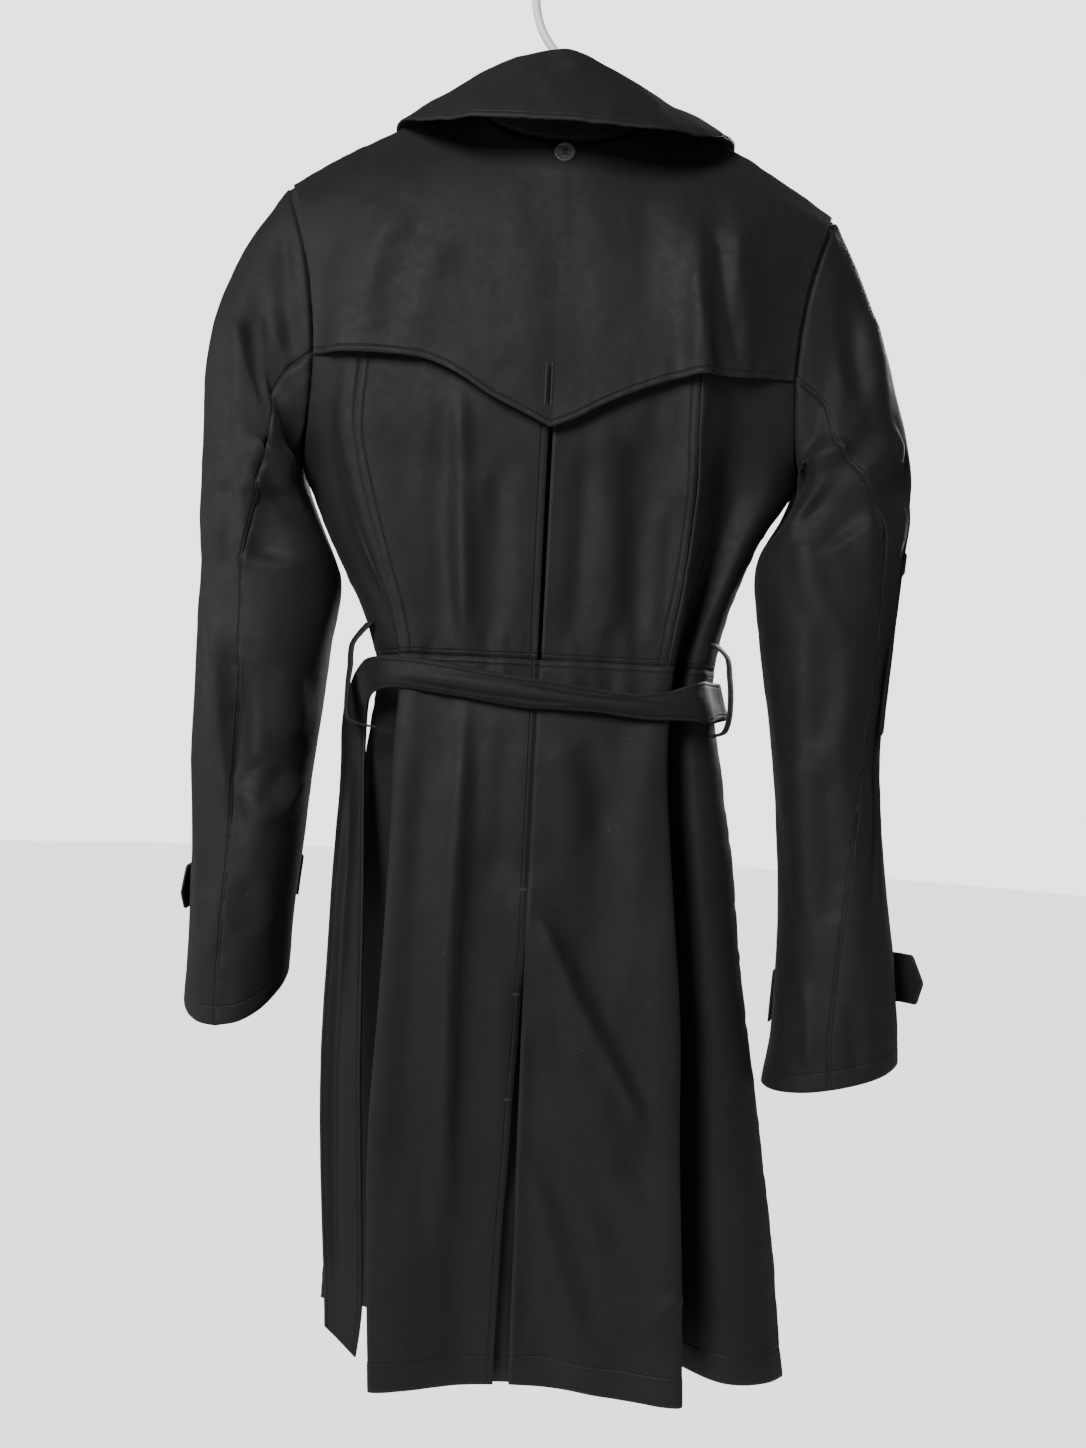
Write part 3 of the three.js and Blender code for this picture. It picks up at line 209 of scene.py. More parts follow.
# Folds
# A fold is its kind, its width to each side, its height, and a line of (X, Z) points on its side of the coat.
# Plus stands out and minus sinks in. A crisp fold is a pinched ridge, and a soft one is round.
BACK_FOLDS = [
    ("crisp", 12, 4.6, [(69, -345), (64, -422), (56, -542)]),
    ("soft", 14, -1.8, [(82, -350), (78, -430), (70, -540)]),
    ("crisp", 11, 4.2, [(54, -560), (54, -679), (56, -737), (55, -806), (53, -878), (49, -932), (43, -968)]),
    ("soft", 12, -1.8, [(40, -590), (41, -700), (40, -800), (36, -920)]),
    ("crisp", 11, 4.4, [(-101, -259), (-110, -324), (-107, -413), (-103, -510), (-97, -544)]),
    ("soft", 16, -3.4, [(-66, -372), (-69, -425), (-72, -520)]),
    ("soft", 24, -4.0, [(-52, -630), (-54, -722), (-60, -800)]),
    ("soft", 12, -2.4, [(-90, -300), (-95, -360), (-94, -440), (-88, -530)]),
    ("soft", 16, -1.6, [(124, -232), (124, -322)]),
    ("soft", 16, 1.4, [(100, -236), (98, -326)]),
    ("soft", 18, -1.0, [(76, -240), (66, -330)]),
    ("soft", 15, 1.6, [(58, -262), (38, -340)]),
    ("soft", 20, -0.8, [(17, -215), (14, -300)]),
    ("crisp", 12, -2.8, [(-104, -214), (-119, -236), (-122, -262), (-127, -285), (-136, -320)]),
    ("soft", 12, 1.8, [(-102, -250), (-107, -328)]),
    ("soft", 18, 1.5, [(150, -205), (110, -262)]),
    ("soft", 18, 1.4, [(-150, -205), (-118, -250)]),
    ("soft", 18, -0.8, [(-62, -200), (-68, -290)]),
    ("soft", 18, 0.9, [(-26, -205), (-32, -320)]),
    ("soft", 12, -1.8, [(38, -400), (34, -530)]),
    ("soft", 12, -1.6, [(-69, -440), (-73, -530)]),
    ("soft", 12, -1.4, [(-77, -345), (-82, -440)]),
    ("soft", 16, 1.8, [(-40, -364), (-46, -500)]),
    ("soft", 16, 1.2, [(20, -400), (16, -520)]),
    ("soft", 8, -1.5, [(43, -520), (37, -546), (40, -575)]),
    ("soft", 7, 1.1, [(30, -525), (26, -580)]),
    ("soft", 8, -1.5, [(-52, -515), (-53, -580)]),
    ("soft", 8, 1.1, [(-64, -520), (-66, -580)]),
    ("soft", 8, -1.0, [(8, -525), (6, -570)]),
    ("soft", 8, 1.0, [(-24, -525), (-28, -585)]),
    ("soft", 8, -1.0, [(80, -530), (86, -580)]),
    ("crisp", 11, 5.5, [(-8, -734), (-41, -798), (-85, -871), (-96, -900)]),
    ("soft", 15, -3.0, [(-30, -742), (-58, -800), (-100, -872)]),
    ("soft", 13, 3.4, [(-64, -905), (-104, -972)]),
    ("soft", 13, -2.4, [(-50, -925), (-88, -990)]),
    ("crisp", 12, 3.6, [(-10, -915), (-36, -1003), (-48, -1040)]),
    ("soft", 13, -2.4, [(-24, -900), (-52, -985), (-68, -1050)]),
    ("soft", 16, 2.0, [(-17, -605), (-36, -690)]),
    ("soft", 14, -1.8, [(-40, -600), (-56, -680)]),
    ("crisp", 11, 3.0, [(-100, -1042), (-132, -1008)]),
    ("soft", 13, -1.6, [(20, -590), (26, -720)]),
    ("soft", 16, 1.8, [(30, -860), (22, -1060)]),
    ("soft", 16, -1.6, [(84, -620), (86, -760), (82, -940)]),
    ("soft", 16, 2.0, [(78, -930), (76, -1040), (80, -1088)]),
    ("soft", 16, -1.4, [(-96, -620), (-100, -760)]),
    ("soft", 16, 1.4, [(-78, -600), (-80, -730)]),
]
FRONT_FOLDS = [
    ("soft", 14, -3.0, [(70, -600), (78, -760), (72, -980)]),
    ("soft", 15, 3.0, [(100, -620), (108, -800), (112, -1060)]),
    ("crisp", 12, 2.6, [(-60, -600), (-64, -760), (-80, -900)]),
    ("soft", 13, -2.6, [(-44, -600), (-46, -740), (-58, -930)]),
    ("soft", 14, 2.4, [(-110, -650), (-124, -820), (-140, -1040)]),
    ("soft", 12, -2.2, [(-90, -640), (-98, -800), (-108, -1000)]),
    ("soft", 13, 2.4, [(20, -640), (26, -860), (20, -1060)]),
    ("soft", 12, -2.0, [(40, -700), (46, -900)]),
    ("soft", 10, -2.4, [(52, -470), (46, -548), (50, -580)]),
    ("soft", 10, 2.2, [(84, -450), (80, -548), (88, -590)]),
    ("soft", 10, -2.4, [(-58, -460), (-54, -550), (-60, -590)]),
    ("soft", 11, 2.4, [(-88, -450), (-84, -550), (-94, -600)]),
    ("soft", 12, -2.2, [(120, -320), (104, -420), (98, -500)]),
    ("soft", 12, 2.2, [(-122, -320), (-108, -420), (-100, -500)]),
    ("soft", 12, -2.2, [(-140, -340), (-128, -440)]),
    ("soft", 10, 1.8, [(140, -350), (126, -440)]),
]
LEFT_SLEEVE_FOLDS = [
    ("soft", 11, -4.0, [(211, -224), (206, -283), (195, -330)]),
    ("crisp", 14, 4.0, [(244, -296), (237, -321), (218, -372)]),
    ("soft", 13, -4.2, [(232, -290), (226, -322), (206, -368)]),
    ("crisp", 13, 9.0, [(224, -392), (206, -402), (184, -412)]),
    ("soft", 30, -9.0, [(208, -424), (204, -450), (208, -486)]),
    ("crisp", 12, 4.5, [(222, -396), (226, -429), (229, -494)]),
    ("crisp", 14, 4.5, [(257, -490), (243, -580), (226, -686)]),
    ("soft", 16, -5.0, [(236, -540), (226, -620), (214, -700)]),
    ("crisp", 13, 5.0, [(224, -650), (206, -676), (188, -668), (176, -640)]),
    ("soft", 16, -4.6, [(214, -632), (200, -650), (188, -636)]),
    ("soft", 14, 2.8, [(250, -400), (248, -470)]),
    ("soft", 14, -3.0, [(240, -420), (241, -500)]),
    ("soft", 14, 3.2, [(190, -560), (186, -620)]),
    ("soft", 14, -3.0, [(210, -720), (212, -770)]),
    ("soft", 14, 2.4, [(240, -730), (242, -790)]),
]
RIGHT_SLEEVE_FOLDS = [
    ("crisp", 13, 9.0, [(-184, -392), (-203, -384), (-226, -373)]),
    ("soft", 28, -9.0, [(-196, -414), (-210, -424), (-226, -446)]),
    ("crisp", 13, 3.6, [(-238, -396), (-243, -430), (-246, -500)]),
    ("soft", 14, -4.0, [(-222, -240), (-226, -290), (-236, -340)]),
    ("soft", 14, 3.4, [(-240, -262), (-244, -320), (-252, -366)]),
    ("soft", 13, 3.6, [(-190, -440), (-204, -486), (-228, -530)]),
    ("soft", 15, -3.4, [(-214, -500), (-216, -560), (-212, -610)]),
    ("soft", 14, 3.4, [(-198, -600), (-208, -680), (-214, -740)]),
    ("soft", 14, -3.2, [(-222, -610), (-228, -700), (-226, -750)]),
    ("crisp", 9, 2.4, [(-214, -780), (-219, -810), (-220, -850)]),
    ("soft", 11, -2.6, [(-250, -790), (-256, -850)]),
]
SLEEVE_FRONT_FOLDS = [
    ("soft", 14, -3.2, [(178, -540), (206, -556), (240, -552)]),
    ("crisp", 12, 3.2, [(182, -575), (210, -590), (246, -580)]),
    ("soft", 12, -2.8, [(190, -610), (214, -622), (240, -612)]),
    ("soft", 14, 2.6, [(186, -450), (206, -500), (214, -545)]),
    ("soft", 13, -2.8, [(216, -260), (222, -330), (214, -400)]),
    ("soft", 13, 2.6, [(238, -290), (240, -370), (232, -440)]),
    ("soft", 13, 2.2, [(206, -650), (212, -760)]),
    ("soft", 12, -2.2, [(232, -660), (236, -770)]),
]


# The belt lies doubled: creases with hollows beside them draw the layers that cross, and the tail's own fold.
BELT_FOLDS = [
    ("crisp", 3.2, -2.6, [(110, -566), (79.5, -570.4), (49.7, -573.8), (5.1, -577.4), (-31.8, -578.0)]),
    ("soft", 10, -4.5, [(118, -575), (79.5, -579), (49.7, -583), (5.1, -587), (-34, -588)]),
    ("crisp", 3.2, -2.6, [(13.3, -564), (-16.4, -567.2), (-46.2, -569.9), (-75.9, -571.1), (-122, -574)]),
    ("soft", 9, -4.2, [(0, -555), (-46, -560), (-76, -561.5), (-122, -563)]),
    ("soft", 5, 1.2, [(96, -561), (30, -567), (-40, -576), (-104, -581)]),
    ("crisp", 8, -4.5, [(147, -640), (148, -760), (147, -900), (141, -1000), (134, -1085)]),
]


CRISP_SHARE = 0.55
CRISP_POWER = 2.2
LOW_END = 0.12


def fold_heights(folds, x, z, mirror=1):
    total = np.zeros_like(x)
    for kind, width, height, line in folds:
        near = np.full(x.shape, np.inf)
        share = np.zeros_like(x)
        pieces = [math.dist(line[i], line[i + 1]) for i in range(len(line) - 1)]
        whole = sum(pieces)
        before = 0
        for (ax, az), (bx, bz), length in zip(line, line[1:], pieces):
            ax, bx = ax * mirror, bx * mirror
            dx, dz = (bx - ax) / length, (bz - az) / length
            t = np.clip((x - ax) * dx + (z - az) * dz, 0, length)
            away = np.hypot(x - ax - t * dx, z - az - t * dz)
            closer = away < near
            near = np.where(closer, away, near)
            share = np.where(closer, (before + t) / whole, share)
            before += length
        wide = width * (0.7 + 0.6 * np.sin(np.pi * np.clip(share, 0, 1)) ** 0.7)
        d = np.clip(near / wide, 0, 1)
        form = (1 + np.cos(np.pi * d)) / 2
        if kind == "crisp":
            form = (1 - CRISP_SHARE) * form + CRISP_SHARE * (1 - d) ** CRISP_POWER
        ends = smooth(share, 0, 0.16) * (1 - smooth(share, 0.8, 1))
        total += height * form * (LOW_END + (1 - LOW_END) * ends)
    return total


# Borders of a grid: how far each point is from each, and the border point that it looks at.
def border_distances(grid):
    along = np.linalg.norm(np.diff(grid, axis=1), axis=2)
    up = np.linalg.norm(np.diff(grid, axis=0), axis=2)
    left = np.concatenate([np.zeros((grid.shape[0], 1)), np.cumsum(along, axis=1)], axis=1)
    bottom = np.concatenate([np.zeros((1, grid.shape[1])), np.cumsum(up, axis=0)], axis=0)
    return {
        "left": left,
        "right": left[:, -1:] - left,
        "bottom": bottom,
        "top": bottom[-1:] - bottom,
    }


# Where each border lies in a grid, and the line of points next to it.
EVERY = slice(None)
BORDER = {"left": (EVERY, slice(0, 1)), "right": (EVERY, slice(-1, None)),
          "bottom": (slice(0, 1), EVERY), "top": (slice(-1, None), EVERY)}
BESIDE = {"left": (EVERY, slice(1, 2)), "right": (EVERY, slice(-2, -1)),
          "bottom": (slice(1, 2), EVERY), "top": (slice(-2, -1), EVERY)}


def border_points(grid, border):
    return np.broadcast_to(grid[BORDER[border]], grid.shape)


def let_out(grid, how_far):
    made = grid.copy()
    for border, far in how_far.items():
        way = grid[BORDER[border]] - grid[BESIDE[border]]
        made[BORDER[border]] += way / np.maximum(np.linalg.norm(way, axis=-1, keepdims=True), TINY) * far
    return made


# Pieces of cloth: the side shown, the step of the mesh, seams with the height of their puckers, rows of
# topstitching as (border, inset), the folds that they take, and what each hangs from. closes and longer let
# borders out to meet the next piece, sunk sets a piece back, and point is the column of the CAD grid at the
# point of the flap's edge.
PIECES = {
    "skirt_back_left": dict(
        shown="back", step=3.2, seams={"top": 0.9, "left": 0.6, "right": 0.5},
        rows=[("right", 4.5), ("bottom", 22), ("top", 5)], folds="body", hem="bottom",
        rests="bodice_back_left"),
    "skirt_back_right": dict(
        shown="back", step=3.2, seams={"top": 0.9, "right": 0.6, "left": 0.5},
        rows=[("bottom", 22), ("top", 5)], folds="body", hem="bottom",
        rests="bodice_back_right"),
    "bodice_back_left": dict(
        shown="back", step=3.0, seams={"bottom": 0.8, "left": 0.7, "right": 0.3},
        rows=[("right", 5), ("left", 6.5), ("bottom", 4)], folds="body", slit="right",
        rests="hanger"),
    "bodice_back_right": dict(
        shown="back", step=3.0, seams={"bottom": 0.8, "right": 0.7, "left": 0.3},
        rows=[("right", 6.5), ("bottom", 4)], folds="body", slit="left",
        rests="hanger"),
    "bodice_side_left": dict(
        shown="back", step=3.2, seams={"bottom": 0.8, "right": 0.7, "left": 0.5},
        rows=[("bottom", 4)], folds="body", rests="hanger"),
    "bodice_side_right": dict(
        shown="back", step=3.2, seams={"bottom": 0.8, "left": 0.7, "right": 0.5},
        rows=[("bottom", 4)], folds="body", rests="hanger"),
    "front_left": dict(
        shown="front", step=4.2, seams={"right": 0.6, "top": 0.4},
        rows=[("left", 6), ("bottom", 22)], folds="body", hem="bottom", rests="hanger"),
    "front_right": dict(
        shown="front", step=4.2, seams={"left": 0.6, "top": 0.4},
        rows=[("right", 6), ("bottom", 22)], folds="body", hem="bottom", rests="hanger"),
    "storm_flap": dict(
        shown="back", step=2.3, seams={"top": 0.5}, rows=[("bottom", 4.6)], folds="body", edge="bottom",
        point=13, rests="bodice_back_left"),
    "vent_underlap": dict(
        shown="back", step=4, seams={}, rows=[("bottom", 20)], folds="body", sunk=5,
        longer={"bottom": 9}, rests="skirt_back_right"),
    "pleat_underlay": dict(
        shown="back", step=4, seams={}, rows=[], folds="body", longer={"bottom": 8}, sunk=9,
        rests="bodice_back_left"),
    "lapel_left": dict(
        shown="front", step=3, seams={}, rows=[("right", 5)], folds=None, rests="front_left"),
    "lapel_right": dict(
        shown="front", step=3, seams={}, rows=[("left", 5)], folds=None, rests="front_right"),
    "collar_fall": dict(
        shown="round", step=2.6, seams={}, rows=[("bottom", 4.6)], folds="collar", edge="bottom",
        rests="collar_stand"),
    "collar_stand": dict(
        shown="round", step=3, seams={}, rows=[("bottom", 3), ("top", 6)], folds=None, longer={"bottom": 1.6},
        rests="storm_flap"),
}

# The sleeves mirror each other. The seam at the back of the arm puckers most, and has a row beside it.
BACK_SEAM = 0.8
FRONT_SEAM = 0.5
for arm, back, front in (("left", "right", "left"), ("right", "left", "right")):
    for part, deep in (("top", back), ("under", front)):
        pucker = {side: BACK_SEAM if side == deep else FRONT_SEAM for side in ("left", "right")}
        PIECES["sleeve_" + arm + "_" + part] = dict(
            shown="round", step=3.2, seams={**pucker, "top": 0.7}, folds="sleeve_" + arm, closes=0.8,
            rows=[("bottom", 14), (back, 2)] if part == "top" else [("bottom", 14)], hem="bottom",
            rests="bodice_side_" + arm)

# The belt, and the narrow strips with a row along both edges.
PIECES["belt"] = dict(
    shown="ribbon", step=1.9, seams={}, rows=[("top", 3), ("bottom", 3)], folds="belt",
    rests="belt_loop_left", thick=BELT_CLOTH)
for strip, step, inset, straight, held_by in (
    ("belt_loop_", 2, 2, False, "bodice_side_%s"),
    ("cuff_strap_", 2.4, 3, True, "sleeve_%s_top"),
):
    for side in ("left", "right"):
        PIECES[strip + side] = dict(
            shown="ribbon", step=step, seams={}, rows=[("top", inset), ("bottom", inset)], folds=None,
            straight=straight, rests=held_by % side)


# How far a surface has to face back or front before the folds of that side show on it.
FACING = (0.1, 0.55)
SEAM_DIP = 0.3
SLEEVE_SEAM_DIP = 0.7
HEM_ROLL = 0.4
EDGE_ROLL = 0.12
FLAP_LIFT = 2.4
ROW_GROOVE = 0.1
CLOSES = 0.22
SLIT_TOP = -362
SLIT_BOTTOM = -548
SLIT_GAPE = 1.2


def fold_lift(name, item, grid, normals, distance):
    """The creases that a piece hangs in, and the small unevenness of its cloth."""
    x, z = grid[..., 0], grid[..., 2]
    folds = item["folds"]
    behind = smooth(normals[..., 1], *FACING)
    ahead = smooth(-normals[..., 1], *FACING)
    lift = np.zeros(x.shape)
    if folds == "body":
        lift += behind * fold_heights(BACK_FOLDS, x, z) + ahead * fold_heights(FRONT_FOLDS, x, z)
        lift += (0.55 + 0.45 * smooth(-z, 500, 900)) * unevenness(grid * [1, 1, 0.22], 24, 3) * 0.45
        lift += 0.2 * unevenness(grid * [1, 1, 0.7], 11, 5)
    elif folds in ("sleeve_left", "sleeve_right"):
        mirror = 1 if folds == "sleeve_left" else -1
        own = LEFT_SLEEVE_FOLDS if mirror > 0 else RIGHT_SLEEVE_FOLDS
        lift += behind * fold_heights(own, x, z)
        lift += ahead * fold_heights(SLEEVE_FRONT_FOLDS, x, z, mirror)
        lift += 1.2 * unevenness(grid * [1, 1, 0.5], 24, 7 if mirror > 0 else 8)
        lift += 0.22 * unevenness(grid, 11, 9)
        lift *= smooth(distance["top"], 0, 16) * 0.9 + 0.1
    elif folds == "collar":
        lift += 1.3 * unevenness(grid, 24, 11) + 0.4 * unevenness(grid, 9, 12)
        lift *= smooth(distance["top"], 2, 20)
    elif folds == "belt":
        lift += 0.5 * unevenness(grid, 20, 13) + behind * fold_heights(BELT_FOLDS, x, z)
    if name in ("storm_flap", "vent_underlap", "pleat_underlay"):
        lift *= smooth(distance["top"], 0, 20)
    return lift


def sewn_lift(name, item, grid, distance):
    """What sewing does to the cloth: puckered seams, rolled hems and edges, grooves under the rows."""
    lift = np.zeros(grid.shape[:2])
    dip = SLEEVE_SEAM_DIP if name.startswith("sleeve") else SEAM_DIP
    for border, height in item["seams"].items():
        seam = border_points(grid, border)
        away = distance[border]
        lift += height * unevenness(seam, 6.5, 21) * np.exp(-away / 7.0)
        lift += 0.8 * height * unevenness(seam, 15, 22) * np.exp(-away / 16.0)
        lift -= dip * np.exp(-((away / 2.2) ** 2))
    if "hem" in item:
        away = distance[item["hem"]]
        inset = next(r[1] for r in item["rows"] if r[0] == item["hem"])
        pulled = unevenness(border_points(grid, item["hem"]), 12, 31)
        lift += HEM_ROLL * (1 - smooth(away, inset - 3, inset + 2))
        lift += 0.5 * pulled * np.exp(-(((away - inset) / 9.0) ** 2))
    if "edge" in item:
        away = distance[item["edge"]]
        lift += EDGE_ROLL * (1 - smooth(away, 2, 7))
        if name == "storm_flap":
            between = smooth(distance["left"], 4, 30) * smooth(distance["right"], 4, 30)
            lift += FLAP_LIFT * np.exp(-away / 13) * between
        lift += 0.8 * unevenness(border_points(grid, item["edge"]), 6, 33) * np.exp(-away / 8.0)
    for border, inset in item["rows"]:
        lift -= ROW_GROOVE * np.exp(-(((distance[border] - inset) / 1.6) ** 2))
    return lift


def shaped(name, item):
    """A piece's fine grid, creased and sewn, with its borders let out to meet the pieces beside it."""
    coarse = outer_grid(name, item.get("thick", CLOTH), item["shown"])
    grid = evened(coarse, 0, item["step"])
    if "point" in item:
        half = evened(grid[:, : item["point"] + 1], 1, item["step"])
        grid = np.concatenate([half, evened(grid[:, item["point"] :], 1, item["step"])[:, 1:]], axis=1)
    else:
        grid = evened(grid, 1, item["step"], item.get("straight", False))
    normals = normals_of(grid)
    distance = border_distances(grid)
    lift = fold_lift(name, item, grid, normals, distance) + sewn_lift(name, item, grid, distance)
    if "slit" in item:
        z = grid[..., 2]
        open_here = smooth(z, SLIT_BOTTOM, SLIT_BOTTOM + 8) * (1 - smooth(z, SLIT_TOP - 10, SLIT_TOP))
        lift += SLIT_GAPE * open_here * np.exp(-distance[item["slit"]] / 5)
    if "sunk" in item:
        lift -= item["sunk"] * smooth(distance["top"], 6, 40)
    made = grid + normals * lift[..., None]
    out = {b: item.get("closes", CLOSES) for b in item["seams"]}
    out.update(item.get("longer", {}))
    if "slit" in item:
        out[item["slit"]] = -0.3
    return let_out(made, out)


def quads_of(grid):
    count = grid.shape[:2]
    ids = np.arange(count[0] * count[1]).reshape(count)
    return np.stack([ids[:-1, :-1], ids[:-1, 1:], ids[1:, 1:], ids[1:, :-1]], axis=-1).reshape(-1, 4)


def sheet_mesh(name, grid, distance, rows):
    mesh = bpy.data.meshes.new(name)
    mesh.from_pydata((grid.reshape(-1, 3) * MM).tolist(), [], quads_of(grid).tolist())
    mesh.shade_smooth()
    layer = mesh.uv_layers.new(name="weave")
    across = distance["left"].ravel() * MM
    upward = distance["bottom"].ravel() * MM
    corners = np.empty(len(mesh.loops), dtype=np.int64)
    mesh.loops.foreach_get("vertex_index", corners)
    uv = np.stack([across[corners], upward[corners]], axis=1)
    layer.data.foreach_set("uv", uv.ravel())
    near = np.full((grid.shape[0] * grid.shape[1], 3), 1.0)
    for k, (border, inset) in enumerate(rows[:3]):
        near[:, k] = (distance[border].ravel() - inset) * MM
    stitched = mesh.attributes.new("stitched", "FLOAT_VECTOR", "POINT")
    stitched.data.foreach_set("vector", near.ravel())
    edge = np.minimum.reduce([distance[b] for b in ("left", "right", "bottom", "top")]).ravel() * MM
    rim = mesh.attributes.new("rim", "FLOAT", "POINT")
    rim.data.foreach_set("value", edge)
    made = bpy.data.objects.new(name, mesh)
    bpy.context.collection.objects.link(made)
    return made


def only(obj):
    bpy.ops.object.select_all(action="DESELECT")
    obj.select_set(True)
    bpy.context.view_layer.objects.active = obj


def apply_all(obj):
    only(obj)
    for modifier in list(obj.modifiers):
        bpy.ops.object.modifier_apply(modifier=modifier.name)


def thickened(obj, thickness):
    wall = obj.modifiers.new("wall", "SOLIDIFY")
    wall.thickness = thickness * MM
    wall.offset = -1
    wall.use_rim = True
    wall.use_even_offset = False
    apply_all(obj)


# Materials
def node_group(name, inputs, outputs):
    group = bpy.data.node_groups.new(name, "ShaderNodeTree")
    for label, kind, value in inputs:
        socket = group.interface.new_socket(label, in_out="INPUT", socket_type=kind)
        if value is not None:
            socket.default_value = value
    for label, kind in outputs:
        group.interface.new_socket(label, in_out="OUTPUT", socket_type=kind)
    return group, group.nodes.new("NodeGroupInput"), group.nodes.new("NodeGroupOutput")


def math_node(tree, operation, a, b=None, c=None, clamp=False):
    node = tree.nodes.new("ShaderNodeMath")
    node.operation = operation
    node.use_clamp = clamp
    for k, value in enumerate((a, b, c)):
        if value is None:
            continue
        if isinstance(value, (int, float)):
            node.inputs[k].default_value = value
        else:
            tree.links.new(value, node.inputs[k])
    return node.outputs[0]


def noise_node(tree, vector, scale, detail=2.0, roughness=0.5):
    node = tree.nodes.new("ShaderNodeTexNoise")
    node.inputs["Scale"].default_value = scale
    node.inputs["Detail"].default_value = detail
    node.inputs["Roughness"].default_value = roughness
    tree.links.new(vector, node.inputs["Vector"])
    return node.outputs["Fac"]


def twill_group():
    """Fine slanting ribs with uneven threads, as a height."""
    group, given, made = node_group(
        "Twill weave",
        [("UV", "NodeSocketVector", None), ("Ribs per metre", "NodeSocketFloat", 1500.0),
         ("Unevenness", "NodeSocketFloat", 0.4)],
        [("Height", "NodeSocketFloat")])
    split = group.nodes.new("ShaderNodeSeparateXYZ")
    group.links.new(given.outputs["UV"], split.inputs[0])
    slant = math_node(group, "ADD", split.outputs["X"], math_node(group, "MULTIPLY", split.outputs["Y"], 0.8))
    wobble = noise_node(group, given.outputs["UV"], 420, 2)
    phase = math_node(group, "MULTIPLY", slant, given.outputs["Ribs per metre"])
    phase = math_node(group, "ADD", phase, math_node(group, "MULTIPLY", wobble, given.outputs["Unevenness"]))
    ribs = math_node(group, "SINE", math_node(group, "MULTIPLY", phase, 6.2832))
    thread = noise_node(group, given.outputs["UV"], 1400, 1)
    height = math_node(group, "ADD", math_node(group, "MULTIPLY", ribs, 0.35), thread)
    group.links.new(height, made.inputs["Height"])
    return group


def stitched_group():
    """Sunken lines where rows of stitching run, from the piece's own distances to them."""
    group, given, made = node_group(
        "Stitched lines",
        [("Distances", "NodeSocketVector", None), ("Half width", "NodeSocketFloat", 0.0011)],
        [("Depth", "NodeSocketFloat")])
    split = group.nodes.new("ShaderNodeSeparateXYZ")
    group.links.new(given.outputs["Distances"], split.inputs[0])
    total = None
    for axis in "XYZ":
        away = math_node(group, "ABSOLUTE", split.outputs[axis])
        part = math_node(group, "DIVIDE", away, given.outputs["Half width"])
        line = math_node(group, "SUBTRACT", 1.0, part, clamp=True)
        total = line if total is None else math_node(group, "MAXIMUM", total, line)
    group.links.new(total, made.inputs["Depth"])
    return group


def lint_group():
    """A few short pale fibres caught on the cloth."""
    group, given, made = node_group(
        "Lint",
        [("Vector", "NodeSocketVector", None), ("Amount", "NodeSocketFloat", 0.5)],
        [("Mask", "NodeSocketFloat")])
    spots = group.nodes.new("ShaderNodeTexVoronoi")
    spots.inputs["Scale"].default_value = 85
    group.links.new(given.outputs["Vector"], spots.inputs["Vector"])
    fine = math_node(group, "LESS_THAN", spots.outputs["Distance"], 0.055)
    few = group.nodes.new("ShaderNodeSeparateColor")
    group.links.new(spots.outputs["Color"], few.inputs[0])
    chosen = math_node(group, "LESS_THAN", few.outputs[0], given.outputs["Amount"])
    group.links.new(math_node(group, "MULTIPLY", fine, chosen), made.inputs["Mask"])
    return group


TWILL = twill_group()
STITCHED = stitched_group()
LINT = lint_group()


def placed(tree, group, **values):
    node = tree.nodes.new("ShaderNodeGroup")
    node.node_tree = group
    for label, value in values.items():
        socket = node.inputs[label.replace("_", " ")]
        if isinstance(value, (int, float)):
            socket.default_value = value
        else:
            tree.links.new(value, socket)
    return node.outputs[0]


def mixed(tree, factor, a, b):
    node = tree.nodes.new("ShaderNodeMix")
    node.data_type = "RGBA"
    for socket, value in ((node.inputs[6], a), (node.inputs[7], b)):
        if isinstance(value, tuple):
            socket.default_value = (*value, 1)
        else:
            tree.links.new(value, socket)
    tree.links.new(factor, node.inputs[0])
    return node.outputs[2]


def spanned(tree, value, low, high, out_low, out_high):
    node = tree.nodes.new("ShaderNodeMapRange")
    tree.links.new(value, node.inputs[0])
    for k, number in enumerate((low, high, out_low, out_high)):
        node.inputs[k + 1].default_value = number
    return node.outputs[0]


def new_material(name):
    """A fresh material with its node tree, its shader and the place of each point on the object."""
    material = bpy.data.materials.new(name)
    material.use_nodes = True
    tree = material.node_tree
    where = tree.nodes.new("ShaderNodeTexCoord").outputs["Object"]
    return material, tree, tree.nodes["Principled BSDF"], where


def finished(tree, shader, colour, roughness, height):
    """Links a colour, a roughness and a small relief in metres to the shader."""
    tree.links.new(colour, shader.inputs["Base Color"])
    tree.links.new(roughness, shader.inputs["Roughness"])
    relief = tree.nodes.new("ShaderNodeBump")
    relief.inputs["Distance"].default_value = 1.0
    tree.links.new(height, relief.inputs["Height"])
    tree.links.new(relief.outputs[0], shader.inputs["Normal"])


